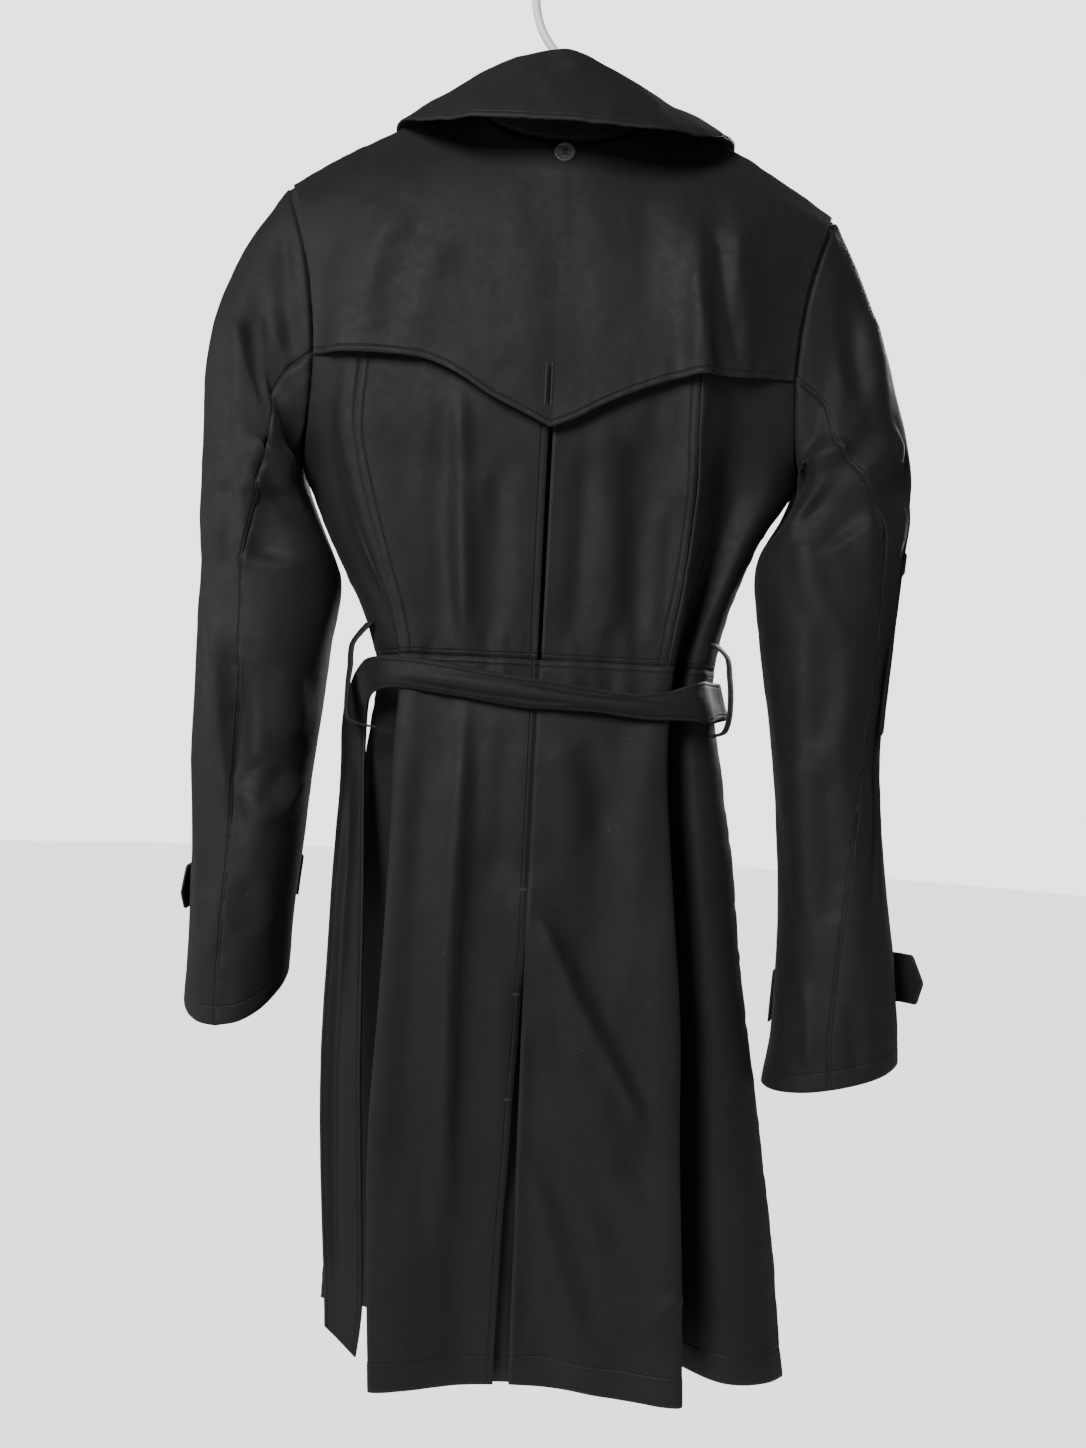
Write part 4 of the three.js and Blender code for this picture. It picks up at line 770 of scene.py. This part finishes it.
def cloth_material(name, dark, light, rough):
    material, tree, shader, where = new_material(name)
    shader.inputs["Specular IOR Level"].default_value = 0.25
    shader.inputs["Sheen Weight"].default_value = 0.06
    shader.inputs["Sheen Roughness"].default_value = 0.42
    shader.inputs["Sheen Tint"].default_value = (0.75, 0.76, 0.8, 1)
    uv = tree.nodes.new("ShaderNodeUVMap")
    uv.uv_map = "weave"
    rows = tree.nodes.new("ShaderNodeAttribute")
    rows.attribute_name = "stitched"
    rim = tree.nodes.new("ShaderNodeAttribute")
    rim.attribute_name = "rim"
    broad = noise_node(tree, where, 14, 3)
    cloudy = noise_node(tree, where, 160, 3, 0.6)
    colour = mixed(tree, spanned(tree, broad, 0.3, 0.7, 0, 1), dark, light)
    # Painted sheen, with some wear: the cloth is coloured lighter within about 2 mm of every border.
    wear_and_sheen_at_rim = spanned(tree, rim.outputs["Fac"], 0.0, 0.0022, 0.55, 0)
    colour = mixed(tree, wear_and_sheen_at_rim, colour, tuple(c * 1.9 for c in light))
    sunk = placed(tree, STITCHED, Distances=rows.outputs["Vector"])
    # Painted shade: the cloth is coloured darker along the sunken lines of the stitched rows, where the
    # grooves are in shade.
    colour = mixed(tree, math_node(tree, "MULTIPLY", sunk, 0.45), colour, tuple(c * 0.45 for c in dark))
    lint = placed(tree, LINT, Vector=where, Amount=0.09)
    colour = mixed(tree, math_node(tree, "MULTIPLY", lint, 0.5), colour, (0.09, 0.09, 0.09))
    weave = placed(tree, TWILL, UV=uv.outputs["UV"])
    crumple = noise_node(tree, where, 55, 2)
    height = math_node(tree, "MULTIPLY", weave, 0.00006)
    height = math_node(tree, "ADD", height, math_node(tree, "MULTIPLY", cloudy, 0.00012))
    height = math_node(tree, "ADD", height, math_node(tree, "MULTIPLY", crumple, 0.0005))
    height = math_node(tree, "SUBTRACT", height, math_node(tree, "MULTIPLY", sunk, 0.0006))
    finished(tree, shader, colour, spanned(tree, cloudy, 0.3, 0.7, rough - 0.06, rough + 0.06), height)
    return material


def thread_material():
    material, tree, shader, where = new_material("black sewing thread")
    shader.inputs["Specular IOR Level"].default_value = 0.35
    shader.inputs["Sheen Weight"].default_value = 0.1
    shader.inputs["Sheen Roughness"].default_value = 0.4
    tone = noise_node(tree, where, 300, 2)
    twist = noise_node(tree, where, 2600, 1)
    # The thread is coloured lighter than the cloth: partly its own tone, partly a painted sheen.
    colour = mixed(tree, tone, (0.016, 0.016, 0.0165), (0.034, 0.034, 0.035))
    height = math_node(tree, "MULTIPLY", twist, 0.00008)
    finished(tree, shader, colour, spanned(tree, tone, 0.3, 0.7, 0.38, 0.55), height)
    return material


def horn_material():
    material, tree, shader, where = new_material("dark button horn")
    shader.inputs["Coat Weight"].default_value = 0.25
    shader.inputs["Coat Roughness"].default_value = 0.25
    streak = tree.nodes.new("ShaderNodeMapping")
    streak.inputs["Scale"].default_value = (1.0, 1.0, 4.0)
    tree.links.new(where, streak.inputs["Vector"])
    grain = noise_node(tree, streak.outputs[0], 130, 4)
    fine = noise_node(tree, where, 900, 2)
    share = spanned(tree, grain, 0.38, 0.68, 0, 1)
    colour = mixed(tree, share, (0.075, 0.076, 0.078), (0.120, 0.119, 0.116))
    height = math_node(tree, "MULTIPLY", fine, 0.00003)
    finished(tree, shader, colour, spanned(tree, grain, 0.3, 0.7, 0.28, 0.42), height)
    return material


def hanger_material():
    material, tree, shader, where = new_material("white hanger plastic")
    shader.inputs["Subsurface Weight"].default_value = 0.05
    tone = noise_node(tree, where, 24, 3)
    scuffs = noise_node(tree, where, 220, 3, 0.7)
    colour = mixed(tree, tone, (0.90, 0.905, 0.905), (0.95, 0.95, 0.945))
    colour = mixed(tree, spanned(tree, scuffs, 0.66, 0.74, 0, 0.5), colour, (0.76, 0.76, 0.75))
    height = math_node(tree, "MULTIPLY", scuffs, 0.00008)
    finished(tree, shader, colour, spanned(tree, scuffs, 0.35, 0.7, 0.3, 0.48), height)
    return material


DEEP_BLACK = (0.0105, 0.0105, 0.0107)
# The paler black is the light end of the cloth's random tone. Made paler still, it is also the painted sheen
# and wear along the borders.
WORN_AND_SHEEN_BLACK = (0.0148, 0.0147, 0.0143)
GABARDINE = cloth_material("black gabardine", DEEP_BLACK, WORN_AND_SHEEN_BLACK, 0.62)
BELTING = cloth_material("black gabardine, belt", DEEP_BLACK, WORN_AND_SHEEN_BLACK, 0.6)
# A near-black cloth that stands in for the shade in the slot of the buttonhole: painted shade.
SHADED = cloth_material("painted shade in the buttonhole", (0.0016, 0.0016, 0.0017), (0.0024, 0.0024, 0.0024), 0.9)
THREAD = thread_material()
HORN = horn_material()
WHITE = hanger_material()


# Stitches
# One stitch is modelled once: a small ball drawn out along X and pressed flat.
# Each row then holds copies of it.
def stitch_form():
    bpy.ops.object.select_all(action="DESELECT")
    bpy.ops.mesh.primitive_uv_sphere_add(segments=6, ring_count=4, radius=1)
    one = bpy.context.object
    bpy.ops.object.mode_set(mode="EDIT")
    bpy.ops.mesh.select_all(action="SELECT")
    bpy.ops.transform.rotate(value=math.radians(90), orient_axis="Y", center_override=(0, 0, 0))
    bpy.ops.object.mode_set(mode="OBJECT")
    points = np.array([v.co for v in one.data.vertices])
    faces = [list(p.vertices) for p in one.data.polygons]
    bpy.data.objects.remove(one, do_unlink=True)
    return points, faces


STITCH_POINTS, STITCH_FACES = stitch_form()


class Stitching:
    """Gathers stitches for one object."""

    def __init__(self):
        self.points, self.faces = [], []

    def add(self, middle, along, out, length=2.3, wide=0.5, high=0.3, rise=0.1):
        along = along / max(np.linalg.norm(along), TINY)
        across = np.cross(out, along)
        across /= max(np.linalg.norm(across), TINY)
        out = np.cross(along, across)
        form = STITCH_POINTS * [length / 2, wide / 2, high / 2]
        placed_points = middle + out * rise + form[:, :1] * along + form[:, 1:2] * across + form[:, 2:] * out
        first = len(self.points) * len(STITCH_POINTS)
        self.points.append(placed_points)
        self.faces.extend([first + k for k in face] for face in STITCH_FACES)

    def row(self, line, outs, pitch=3.1, **sizes):
        steps = np.linalg.norm(np.diff(line, axis=0), axis=1)
        at = np.concatenate([[0], np.cumsum(steps)])
        count = int(at[-1] / pitch)
        if count < 1:
            return
        spots = (np.arange(count) + 0.5) * at[-1] / count
        middle, ahead, before, out = (
            np.stack([np.interp(spots + shift, at, of[:, k]) for k in range(3)], axis=1)
            for shift, of in ((0, line), (1, line), (-1, line), (0, outs)))
        for k in range(count):
            self.add(middle[k], ahead[k] - before[k], out[k], **sizes)

    def made(self, name, material=None):
        mesh = bpy.data.meshes.new(name)
        mesh.from_pydata((np.concatenate(self.points) * MM).tolist(), [], self.faces)
        mesh.shade_smooth()
        obj = bpy.data.objects.new(name, mesh)
        bpy.context.collection.objects.link(obj)
        obj.data.materials.append(material or THREAD)
        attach(obj, "root")
        return obj


def line_inside(grid, normals, distance, border, inset):
    """The line on a piece that stays a distance inside one border."""
    away = distance[border]
    if border in ("bottom", "top"):
        grid, normals, away = grid.swapaxes(0, 1), normals.swapaxes(0, 1), away.T
    from_end = border in ("right", "top")
    last = away.shape[1] - 1
    line, outs = [], []
    for i, d in enumerate(away):
        k = np.interp(inset, d[::-1] if from_end else d, np.arange(last + 1))
        k = last - k if from_end else k
        a = int(min(math.floor(k), last - 1))
        line.append(grid[i, a] + (grid[i, a + 1] - grid[i, a]) * (k - a))
        outs.append(normals[i, a])
    return np.array(line), np.array(outs)


# The cloth
sheets = {}
surfaces = {}
stitching = {}
SEWN_TOGETHER = {
    "skirt": ("skirt_back_left", "skirt_back_right", "vent_underlap"),
    "fronts": ("front_left", "front_right", "lapel_left", "lapel_right"),
    "bodice": ("bodice_back_left", "bodice_back_right", "bodice_side_left", "bodice_side_right"),
    "flap": ("storm_flap",),
    "collar": ("collar_fall", "collar_stand"),
    "sleeve_left": ("sleeve_left_top", "sleeve_left_under", "cuff_strap_left"),
    "sleeve_right": ("sleeve_right_top", "sleeve_right_under", "cuff_strap_right"),
    "belt": ("belt", "belt_loop_left", "belt_loop_right"),
}
group_of = {name: group for group, names in SEWN_TOGETHER.items() for name in names}
for name, item in PIECES.items():
    grid = shaped(name, item)
    normals = normals_of(grid)
    distance = border_distances(grid)
    obj = sheet_mesh(name + "_cloth", grid, distance, item["rows"])
    surfaces[name] = (grid, normals, distance)
    thickened(obj, item.get("thick", CLOTH))
    obj.data.materials.append(BELTING if item["folds"] == "belt" else GABARDINE)
    sheets[name] = obj
    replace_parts(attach(obj, "root"), name)
    for border, inset in item["rows"]:
        line, outs = line_inside(grid, normals, distance, border, inset)
        stitching.setdefault(group_of[name], Stitching()).row(line, outs)


# Rows and tacks that cross a panel, by (X, Z) from behind
def tree_of(grid):
    return BVHTree.FromPolygons(grid.reshape(-1, 3).tolist(), quads_of(grid).tolist())


panel_trees = {n: tree_of(surfaces[n][0]) for n in ("skirt_back_left", "skirt_back_right", "storm_flap")}
WELL_BEHIND = 300


def lying_on(panel, points, step=3.0):
    """A line of (X, Z) points laid on a panel from behind, with the way out of the cloth at each."""
    dense = []
    for (ax, az), (bx, bz) in zip(points, points[1:]):
        count = max(1, int(math.dist((ax, az), (bx, bz)) / step))
        dense += [(ax + (bx - ax) * t / count, az + (bz - az) * t / count) for t in range(count)]
    dense.append(points[-1])
    line, outs = [], []
    for x, z in dense:
        hit, normal, _, _ = panel_trees[panel].ray_cast(Vector((x, WELL_BEHIND, z)), Vector((0, -1, 0)))
        if hit is None:
            continue
        line.append(hit[:])
        outs.append(normal[:] if normal.y > 0 else (-normal)[:])
    return np.array(line), np.array(outs)


VENT_ROWS = [
    ("skirt_back_left", [(54, -727), (3, -714)]),
    ("skirt_back_left", [(54, -733), (3, -720)]),
    ("skirt_back_right", [(-8, -717), (-64, -734)]),
    ("skirt_back_right", [(-8, -723), (-64, -740)]),
]
for panel, line in VENT_ROWS:
    points, outs = lying_on(panel, line)
    if len(points) > 1:
        stitching["skirt"].row(points, outs)

CLOSE = 0.55


def tack(rows, panel, x, z, wide, tall):
    """A bar tack: close stitches that cross a bar, one above the other."""
    count = max(4, int(tall / CLOSE))
    for k in range(count):
        spot = (x, z + ((k + 0.5) / count - 0.5) * tall)
        points, outs = lying_on(panel, [spot, (spot[0] + 0.01, spot[1])])
        if len(points):
            rows.add(points[0], np.array([1.0, 0, 0]), outs[0], length=wide, wide=0.7, high=0.6, rise=0.2)


for x, z in ((5.5, -796), (7.5, -875), (3.5, -717)):
    tack(stitching["skirt"], "skirt_back_left", x, z, 8, 2.4)

# The buttonhole: a cord down each side of the slot, and a rectangle of stitches round both.
SLOT_X = 3
SLOT_TOP = -329
SLOT_FOOT = -360
SLOT_LONG = SLOT_TOP - SLOT_FOOT
SLOT_MIDDLE = (SLOT_TOP + SLOT_FOOT) / 2
CORD_OFF = 2.2
BOX_HALF = 4.4
BOX_TOP = SLOT_TOP + 2
BOX_FOOT = SLOT_FOOT - 2
for side in (-1, 1):
    tack(stitching["flap"], "storm_flap", SLOT_X + side * CORD_OFF, SLOT_MIDDLE, 2.0, SLOT_LONG)
    edge = SLOT_X + side * BOX_HALF
    stitching["flap"].row(*lying_on("storm_flap", [(edge, BOX_TOP), (edge, BOX_FOOT)]))
for z in (BOX_TOP, BOX_FOOT):
    stitching["flap"].row(*lying_on("storm_flap", [(SLOT_X - BOX_HALF, z), (SLOT_X + BOX_HALF, z)]))

# Between the two cords the slot holds a near-black piece: painted shade for the shaded slit in the flap.
slot = Stitching()
points, outs = lying_on("storm_flap", [(SLOT_X, SLOT_MIDDLE), (SLOT_X, SLOT_FOOT)])
slot.add(points[0], points[-1] - points[0], outs[0], length=SLOT_LONG + 1, wide=2.4, high=1.6, rise=0.35)
slot.made("buttonhole_slot", SHADED)

for group, rows in stitching.items():
    rows.made("topstitch_" + group)


# Buttons, one modelled and the rest copied: a turned disc with a rim, a dish and four holes.
# The model has a radius of 1, and its other sizes are shares of that.
BUTTON_THICK = 0.28
BEAD = 0.12
SLOPE = 0.09
RIM_DROP = 0.07
DISH = 0.12
DISH_DROP = 0.06
FLOOR_INSET = 0.2
HOLE = 0.12
HOLE_OFF = 0.2


def button_form():
    bpy.ops.object.select_all(action="DESELECT")
    bpy.ops.mesh.primitive_cylinder_add(
        vertices=48, radius=1, depth=BUTTON_THICK, location=(0, 0, BUTTON_THICK / 2))
    disc = bpy.context.object
    bpy.ops.object.mode_set(mode="EDIT")
    bpy.ops.mesh.select_mode(type="FACE")
    bpy.ops.mesh.select_all(action="DESELECT")
    bpy.ops.object.mode_set(mode="OBJECT")
    for face in disc.data.polygons:
        face.select = face.normal.z > 0.9
    bpy.ops.object.mode_set(mode="EDIT")
    bpy.ops.mesh.inset(thickness=BEAD)
    bpy.ops.mesh.inset(thickness=SLOPE)
    bpy.ops.transform.translate(value=(0, 0, -RIM_DROP))
    bpy.ops.mesh.inset(thickness=DISH)
    bpy.ops.transform.translate(value=(0, 0, -DISH_DROP))
    bpy.ops.mesh.inset(thickness=FLOOR_INSET)
    bpy.ops.object.mode_set(mode="OBJECT")
    soften = disc.modifiers.new("soften", "BEVEL")
    soften.width = 0.05
    soften.segments = 3
    soften.limit_method = "ANGLE"
    soften.angle_limit = math.radians(40)
    apply_all(disc)
    for x, y in ((-1, -1), (1, -1), (1, 1), (-1, 1)):
        bpy.ops.object.select_all(action="DESELECT")
        bpy.ops.mesh.primitive_cylinder_add(
            vertices=16, radius=HOLE, depth=2, location=(x * HOLE_OFF, y * HOLE_OFF, 0))
        drill = bpy.context.object
        cut = disc.modifiers.new("hole", "BOOLEAN")
        cut.operation = "DIFFERENCE"
        cut.object = drill
        cut.solver = "EXACT"
        apply_all(disc)
        bpy.data.objects.remove(drill, do_unlink=True)
    only(disc)
    bpy.ops.object.shade_smooth_by_angle(angle=math.radians(35))
    return disc


def thread_form():
    """Two bars of doubled thread over the holes."""
    rows = Stitching()
    across, up = np.array([1.0, 0, 0]), np.array([0, 0, 1.0])
    for y in (-HOLE_OFF, HOLE_OFF):
        for beside in (-0.03, 0.03):
            rows.add(np.array([0, y + beside, 0.175]), across, up, 2 * HOLE_OFF, 0.06, 0.05, 0)
    return np.concatenate(rows.points), rows.faces


def button_place(name):
    points, _ = corners_of(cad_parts[name])
    _, _, axes = np.linalg.svd(points - points.mean(axis=0))
    axis = axes[2]
    outward = 1 if name == "button_neck" else -1
    if axis[1] * outward < 0:
        axis = -axis
    along = (points - points.mean(axis=0)) @ axis
    flat = points - np.outer(points @ axis, axis)
    radius = np.linalg.norm(flat - flat.mean(axis=0), axis=1).max()
    centre = flat.mean(axis=0) + axis * ((points @ axis).min())
    return centre, axis, radius, along.max() - along.min()


disc = button_form()
thread_points, thread_faces = thread_form()
SEWN_ASKEW = Matrix.Rotation(math.radians(12), 4, "Z")
for name in ("button_neck", "button_front_1", "button_front_2", "button_front_3", "button_front_4"):
    centre, axis, radius, height = button_place(name)
    turn = Vector(axis).to_track_quat("Z", "Y").to_matrix().to_4x4() @ SEWN_ASKEW
    size = Matrix.Diagonal((radius * MM, radius * MM, height * MM / BUTTON_THICK, 1))
    place = Matrix.Translation(Vector(centre) * MM) @ turn @ size
    mesh = disc.data.copy()
    mesh.name = name + "_horn"
    mesh.transform(place)
    button = bpy.data.objects.new(name + "_horn", mesh)
    bpy.context.collection.objects.link(button)
    mesh.materials.append(HORN)
    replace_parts(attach(button, "root"), name)
    mesh = bpy.data.meshes.new(name + "_thread")
    mesh.from_pydata(thread_points.tolist(), [], thread_faces)
    mesh.transform(place)
    mesh.shade_smooth()
    thread = bpy.data.objects.new(name + "_thread", mesh)
    bpy.context.collection.objects.link(thread)
    mesh.materials.append(THREAD)
    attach(thread, "root")
bpy.data.objects.remove(disc, do_unlink=True)


# The hanger: a round rod bent into a hook, and two arms drawn out of one ring, station by station.
# A station is (X, Z, half height, half depth).
HOOK_RADIUS = 29
HOOK_ARC = 165
HOOK_STEM = [(27.5, -38), (21, -55), (7, -71), (1, -83), (0, -94), (0, -104)]
ROD = 3.3
ARM = [
    (-190, -189, 4, 5), (-150, -163.5, 5, 6), (-110, -142.5, 6, 7), (-70, -127.6, 7, 8),
    (-34, -117, 8.6, 9.6), (0, -111, 10, 11), (34, -117, 8.6, 9.6),
    (70, -127.4, 7, 8), (110, -141.5, 6, 7), (150, -162, 5, 6), (190, -186.5, 4, 5),
]


def hook_form():
    data = bpy.data.curves.new("hook", "CURVE")
    data.dimensions = "3D"
    spline = data.splines.new("NURBS")
    turns = np.radians(np.linspace(HOOK_ARC, 0, 18))
    line = [(HOOK_RADIUS * math.cos(a), HOOK_RADIUS * math.sin(a) - HOOK_RADIUS + ROD) for a in turns]
    line += HOOK_STEM
    spline.points.add(len(line) - 1)
    for point, (x, z) in zip(spline.points, line):
        point.co = (x * MM, 0, z * MM, 1)
    spline.use_endpoint_u = True
    spline.order_u = 4
    spline.resolution_u = 6
    data.bevel_depth = ROD * MM
    data.bevel_resolution = 6
    data.use_fill_caps = True
    obj = bpy.data.objects.new("hook", data)
    bpy.context.collection.objects.link(obj)
    only(obj)
    bpy.ops.object.convert(target="MESH")
    return bpy.context.object


def arm_form():
    bpy.ops.object.select_all(action="DESELECT")
    x, z, high, deep = ARM[0]
    bpy.ops.mesh.primitive_circle_add(
        vertices=24, radius=1, fill_type="NGON", location=(x * MM, 0, z * MM),
        rotation=(0, math.radians(90), 0))
    arms = bpy.context.object
    bpy.ops.object.transform_apply(location=True, rotation=True, scale=True)
    bpy.ops.object.mode_set(mode="EDIT")
    bpy.ops.mesh.select_all(action="SELECT")
    bpy.ops.transform.resize(value=(1, deep * MM, high * MM), center_override=(x * MM, 0, z * MM))
    for x2, z2, high2, deep2 in ARM[1:]:
        bpy.ops.mesh.extrude_region_move(TRANSFORM_OT_translate={"value": ((x2 - x) * MM, 0, (z2 - z) * MM)})
        bpy.ops.transform.resize(value=(1, deep2 / deep, high2 / high), center_override=(x2 * MM, 0, z2 * MM))
        x, z, high, deep = x2, z2, high2, deep2
    bpy.ops.mesh.select_all(action="SELECT")
    bpy.ops.mesh.normals_make_consistent(inside=False)
    bpy.ops.object.mode_set(mode="OBJECT")
    soft = arms.modifiers.new("round", "SUBSURF")
    soft.levels = 2
    soft.render_levels = 2
    apply_all(arms)
    return arms


hook = hook_form()
arms = arm_form()
bpy.ops.object.select_all(action="DESELECT")
hook.select_set(True)
arms.select_set(True)
bpy.context.view_layer.objects.active = arms
bpy.ops.object.join()
hanger = bpy.context.object
hanger.name = "hanger_white"
bpy.ops.object.transform_apply(location=True, rotation=True, scale=True)
bpy.ops.object.shade_smooth_by_angle(angle=math.radians(40))
hanger.data.materials.clear()
hanger.data.materials.append(WHITE)
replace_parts(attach(hanger, "root"), "hanger")

# Each sheet's coarse grid is read from the CAD model once more; nothing is kept of it.
for name, obj in sheets.items():
    coarse = outer_grid(name, PIECES[name].get("thick", CLOTH), PIECES[name]["shown"])

# Floor, light and camera
bpy.ops.object.select_all(action="DESELECT")
FLOOR_HEIGHT = -1.62
FLOOR_RADIUS = 9
FLOOR_GLOW = 2.35
GLOW_SHARE = 0.9
AIR_SEEN = 2.7
AIR_LIGHT = 0.05


def pale_floor_material():
    """A matt pale floor that the lens sees brighter than it lights the cloth."""
    material, tree, shader, _ = new_material("pale floor")
    shader.inputs["Base Color"].default_value = (0.78, 0.78, 0.78, 1)
    shader.inputs["Roughness"].default_value = 0.9
    glow = tree.nodes.new("ShaderNodeEmission")
    glow.inputs["Color"].default_value = (1, 1, 1, 1)
    glow.inputs["Strength"].default_value = FLOOR_GLOW
    ray = tree.nodes.new("ShaderNodeLightPath")
    blend = tree.nodes.new("ShaderNodeMixShader")
    tree.links.new(math_node(tree, "MULTIPLY", ray.outputs["Is Camera Ray"], GLOW_SHARE), blend.inputs[0])
    tree.links.new(shader.outputs[0], blend.inputs[1])
    tree.links.new(glow.outputs[0], blend.inputs[2])
    tree.links.new(blend.outputs[0], tree.nodes["Material Output"].inputs["Surface"])
    return material


bpy.ops.mesh.primitive_circle_add(
    vertices=96, radius=FLOOR_RADIUS, fill_type="NGON", location=(0, 0, FLOOR_HEIGHT))
floor = bpy.context.object
floor.name = "studio_floor"
floor.data.materials.append(pale_floor_material())

# The air is brighter where the lens sees it than where it lights the cloth, as with a lit screen behind a
# garment in a dimmer room.
world = bpy.context.scene.world or bpy.data.worlds.new("studio")
bpy.context.scene.world = world
world.use_nodes = True
air = world.node_tree
seen = air.nodes["Background"]
seen.inputs[0].default_value = (1, 1, 1, 1)
seen.inputs[1].default_value = AIR_SEEN
dim = air.nodes.new("ShaderNodeBackground")
dim.inputs[0].default_value = (0.96, 0.98, 1, 1)
dim.inputs[1].default_value = AIR_LIGHT
ray = air.nodes.new("ShaderNodeLightPath")
either = air.nodes.new("ShaderNodeMixShader")
air.links.new(ray.outputs["Is Camera Ray"], either.inputs[0])
air.links.new(dim.outputs[0], either.inputs[1])
air.links.new(seen.outputs[0], either.inputs[2])
air.links.new(either.outputs[0], air.nodes["World Output"].inputs[0])


def softbox(name, place, aim, size, power):
    data = bpy.data.lights.new(name, "AREA")
    data.shape = "RECTANGLE"
    data.size, data.size_y = size
    data.energy = power
    lamp = bpy.data.objects.new(name, data)
    bpy.context.collection.objects.link(lamp)
    lamp.location = place
    lamp.rotation_euler = (Vector(aim) - Vector(place)).to_track_quat("-Z", "Y").to_euler()


softbox("softbox behind", (1.3, 2.4, 0.8), (0, 0, -0.6), (0.9, 1.4), 104)
softbox("softbox left", (2.5, -0.1, -0.3), (0.2, 0, -0.6), (0.5, 1.4), 14)
softbox("softbox right", (-2.4, 1.0, -0.2), (-0.2, 0, -0.6), (0.5, 1.4), 4)
softbox("softbox front", (-1.4, -2.4, 0.5), (0, 0, -0.5), (1.2, 1.6), 70)

# The lens, with its focal length and the picture's long side in pixels, and the camera's place and roll.
FILM = 36
FOCAL_PX = 1284
LONG_SIDE_PX = 1448
EYE = (-0.0052, 1.010, -0.594)
ROLL = math.radians(2.9)
camera_data = bpy.data.cameras.new("camera")
camera_data.sensor_width = FILM
camera_data.lens = FILM * FOCAL_PX / LONG_SIDE_PX
camera_data.clip_start = 0.01
camera_data.clip_end = 60
camera = bpy.data.objects.new("camera", camera_data)
bpy.context.collection.objects.link(camera)
right = Vector((-math.cos(ROLL), 0, math.sin(ROLL)))
upward = Vector((math.sin(ROLL), 0, math.cos(ROLL)))
back = Vector((0, 1, 0))
camera.matrix_world = Matrix.Translation(EYE) @ Matrix((right, upward, back)).transposed().to_4x4()
bpy.context.scene.camera = camera
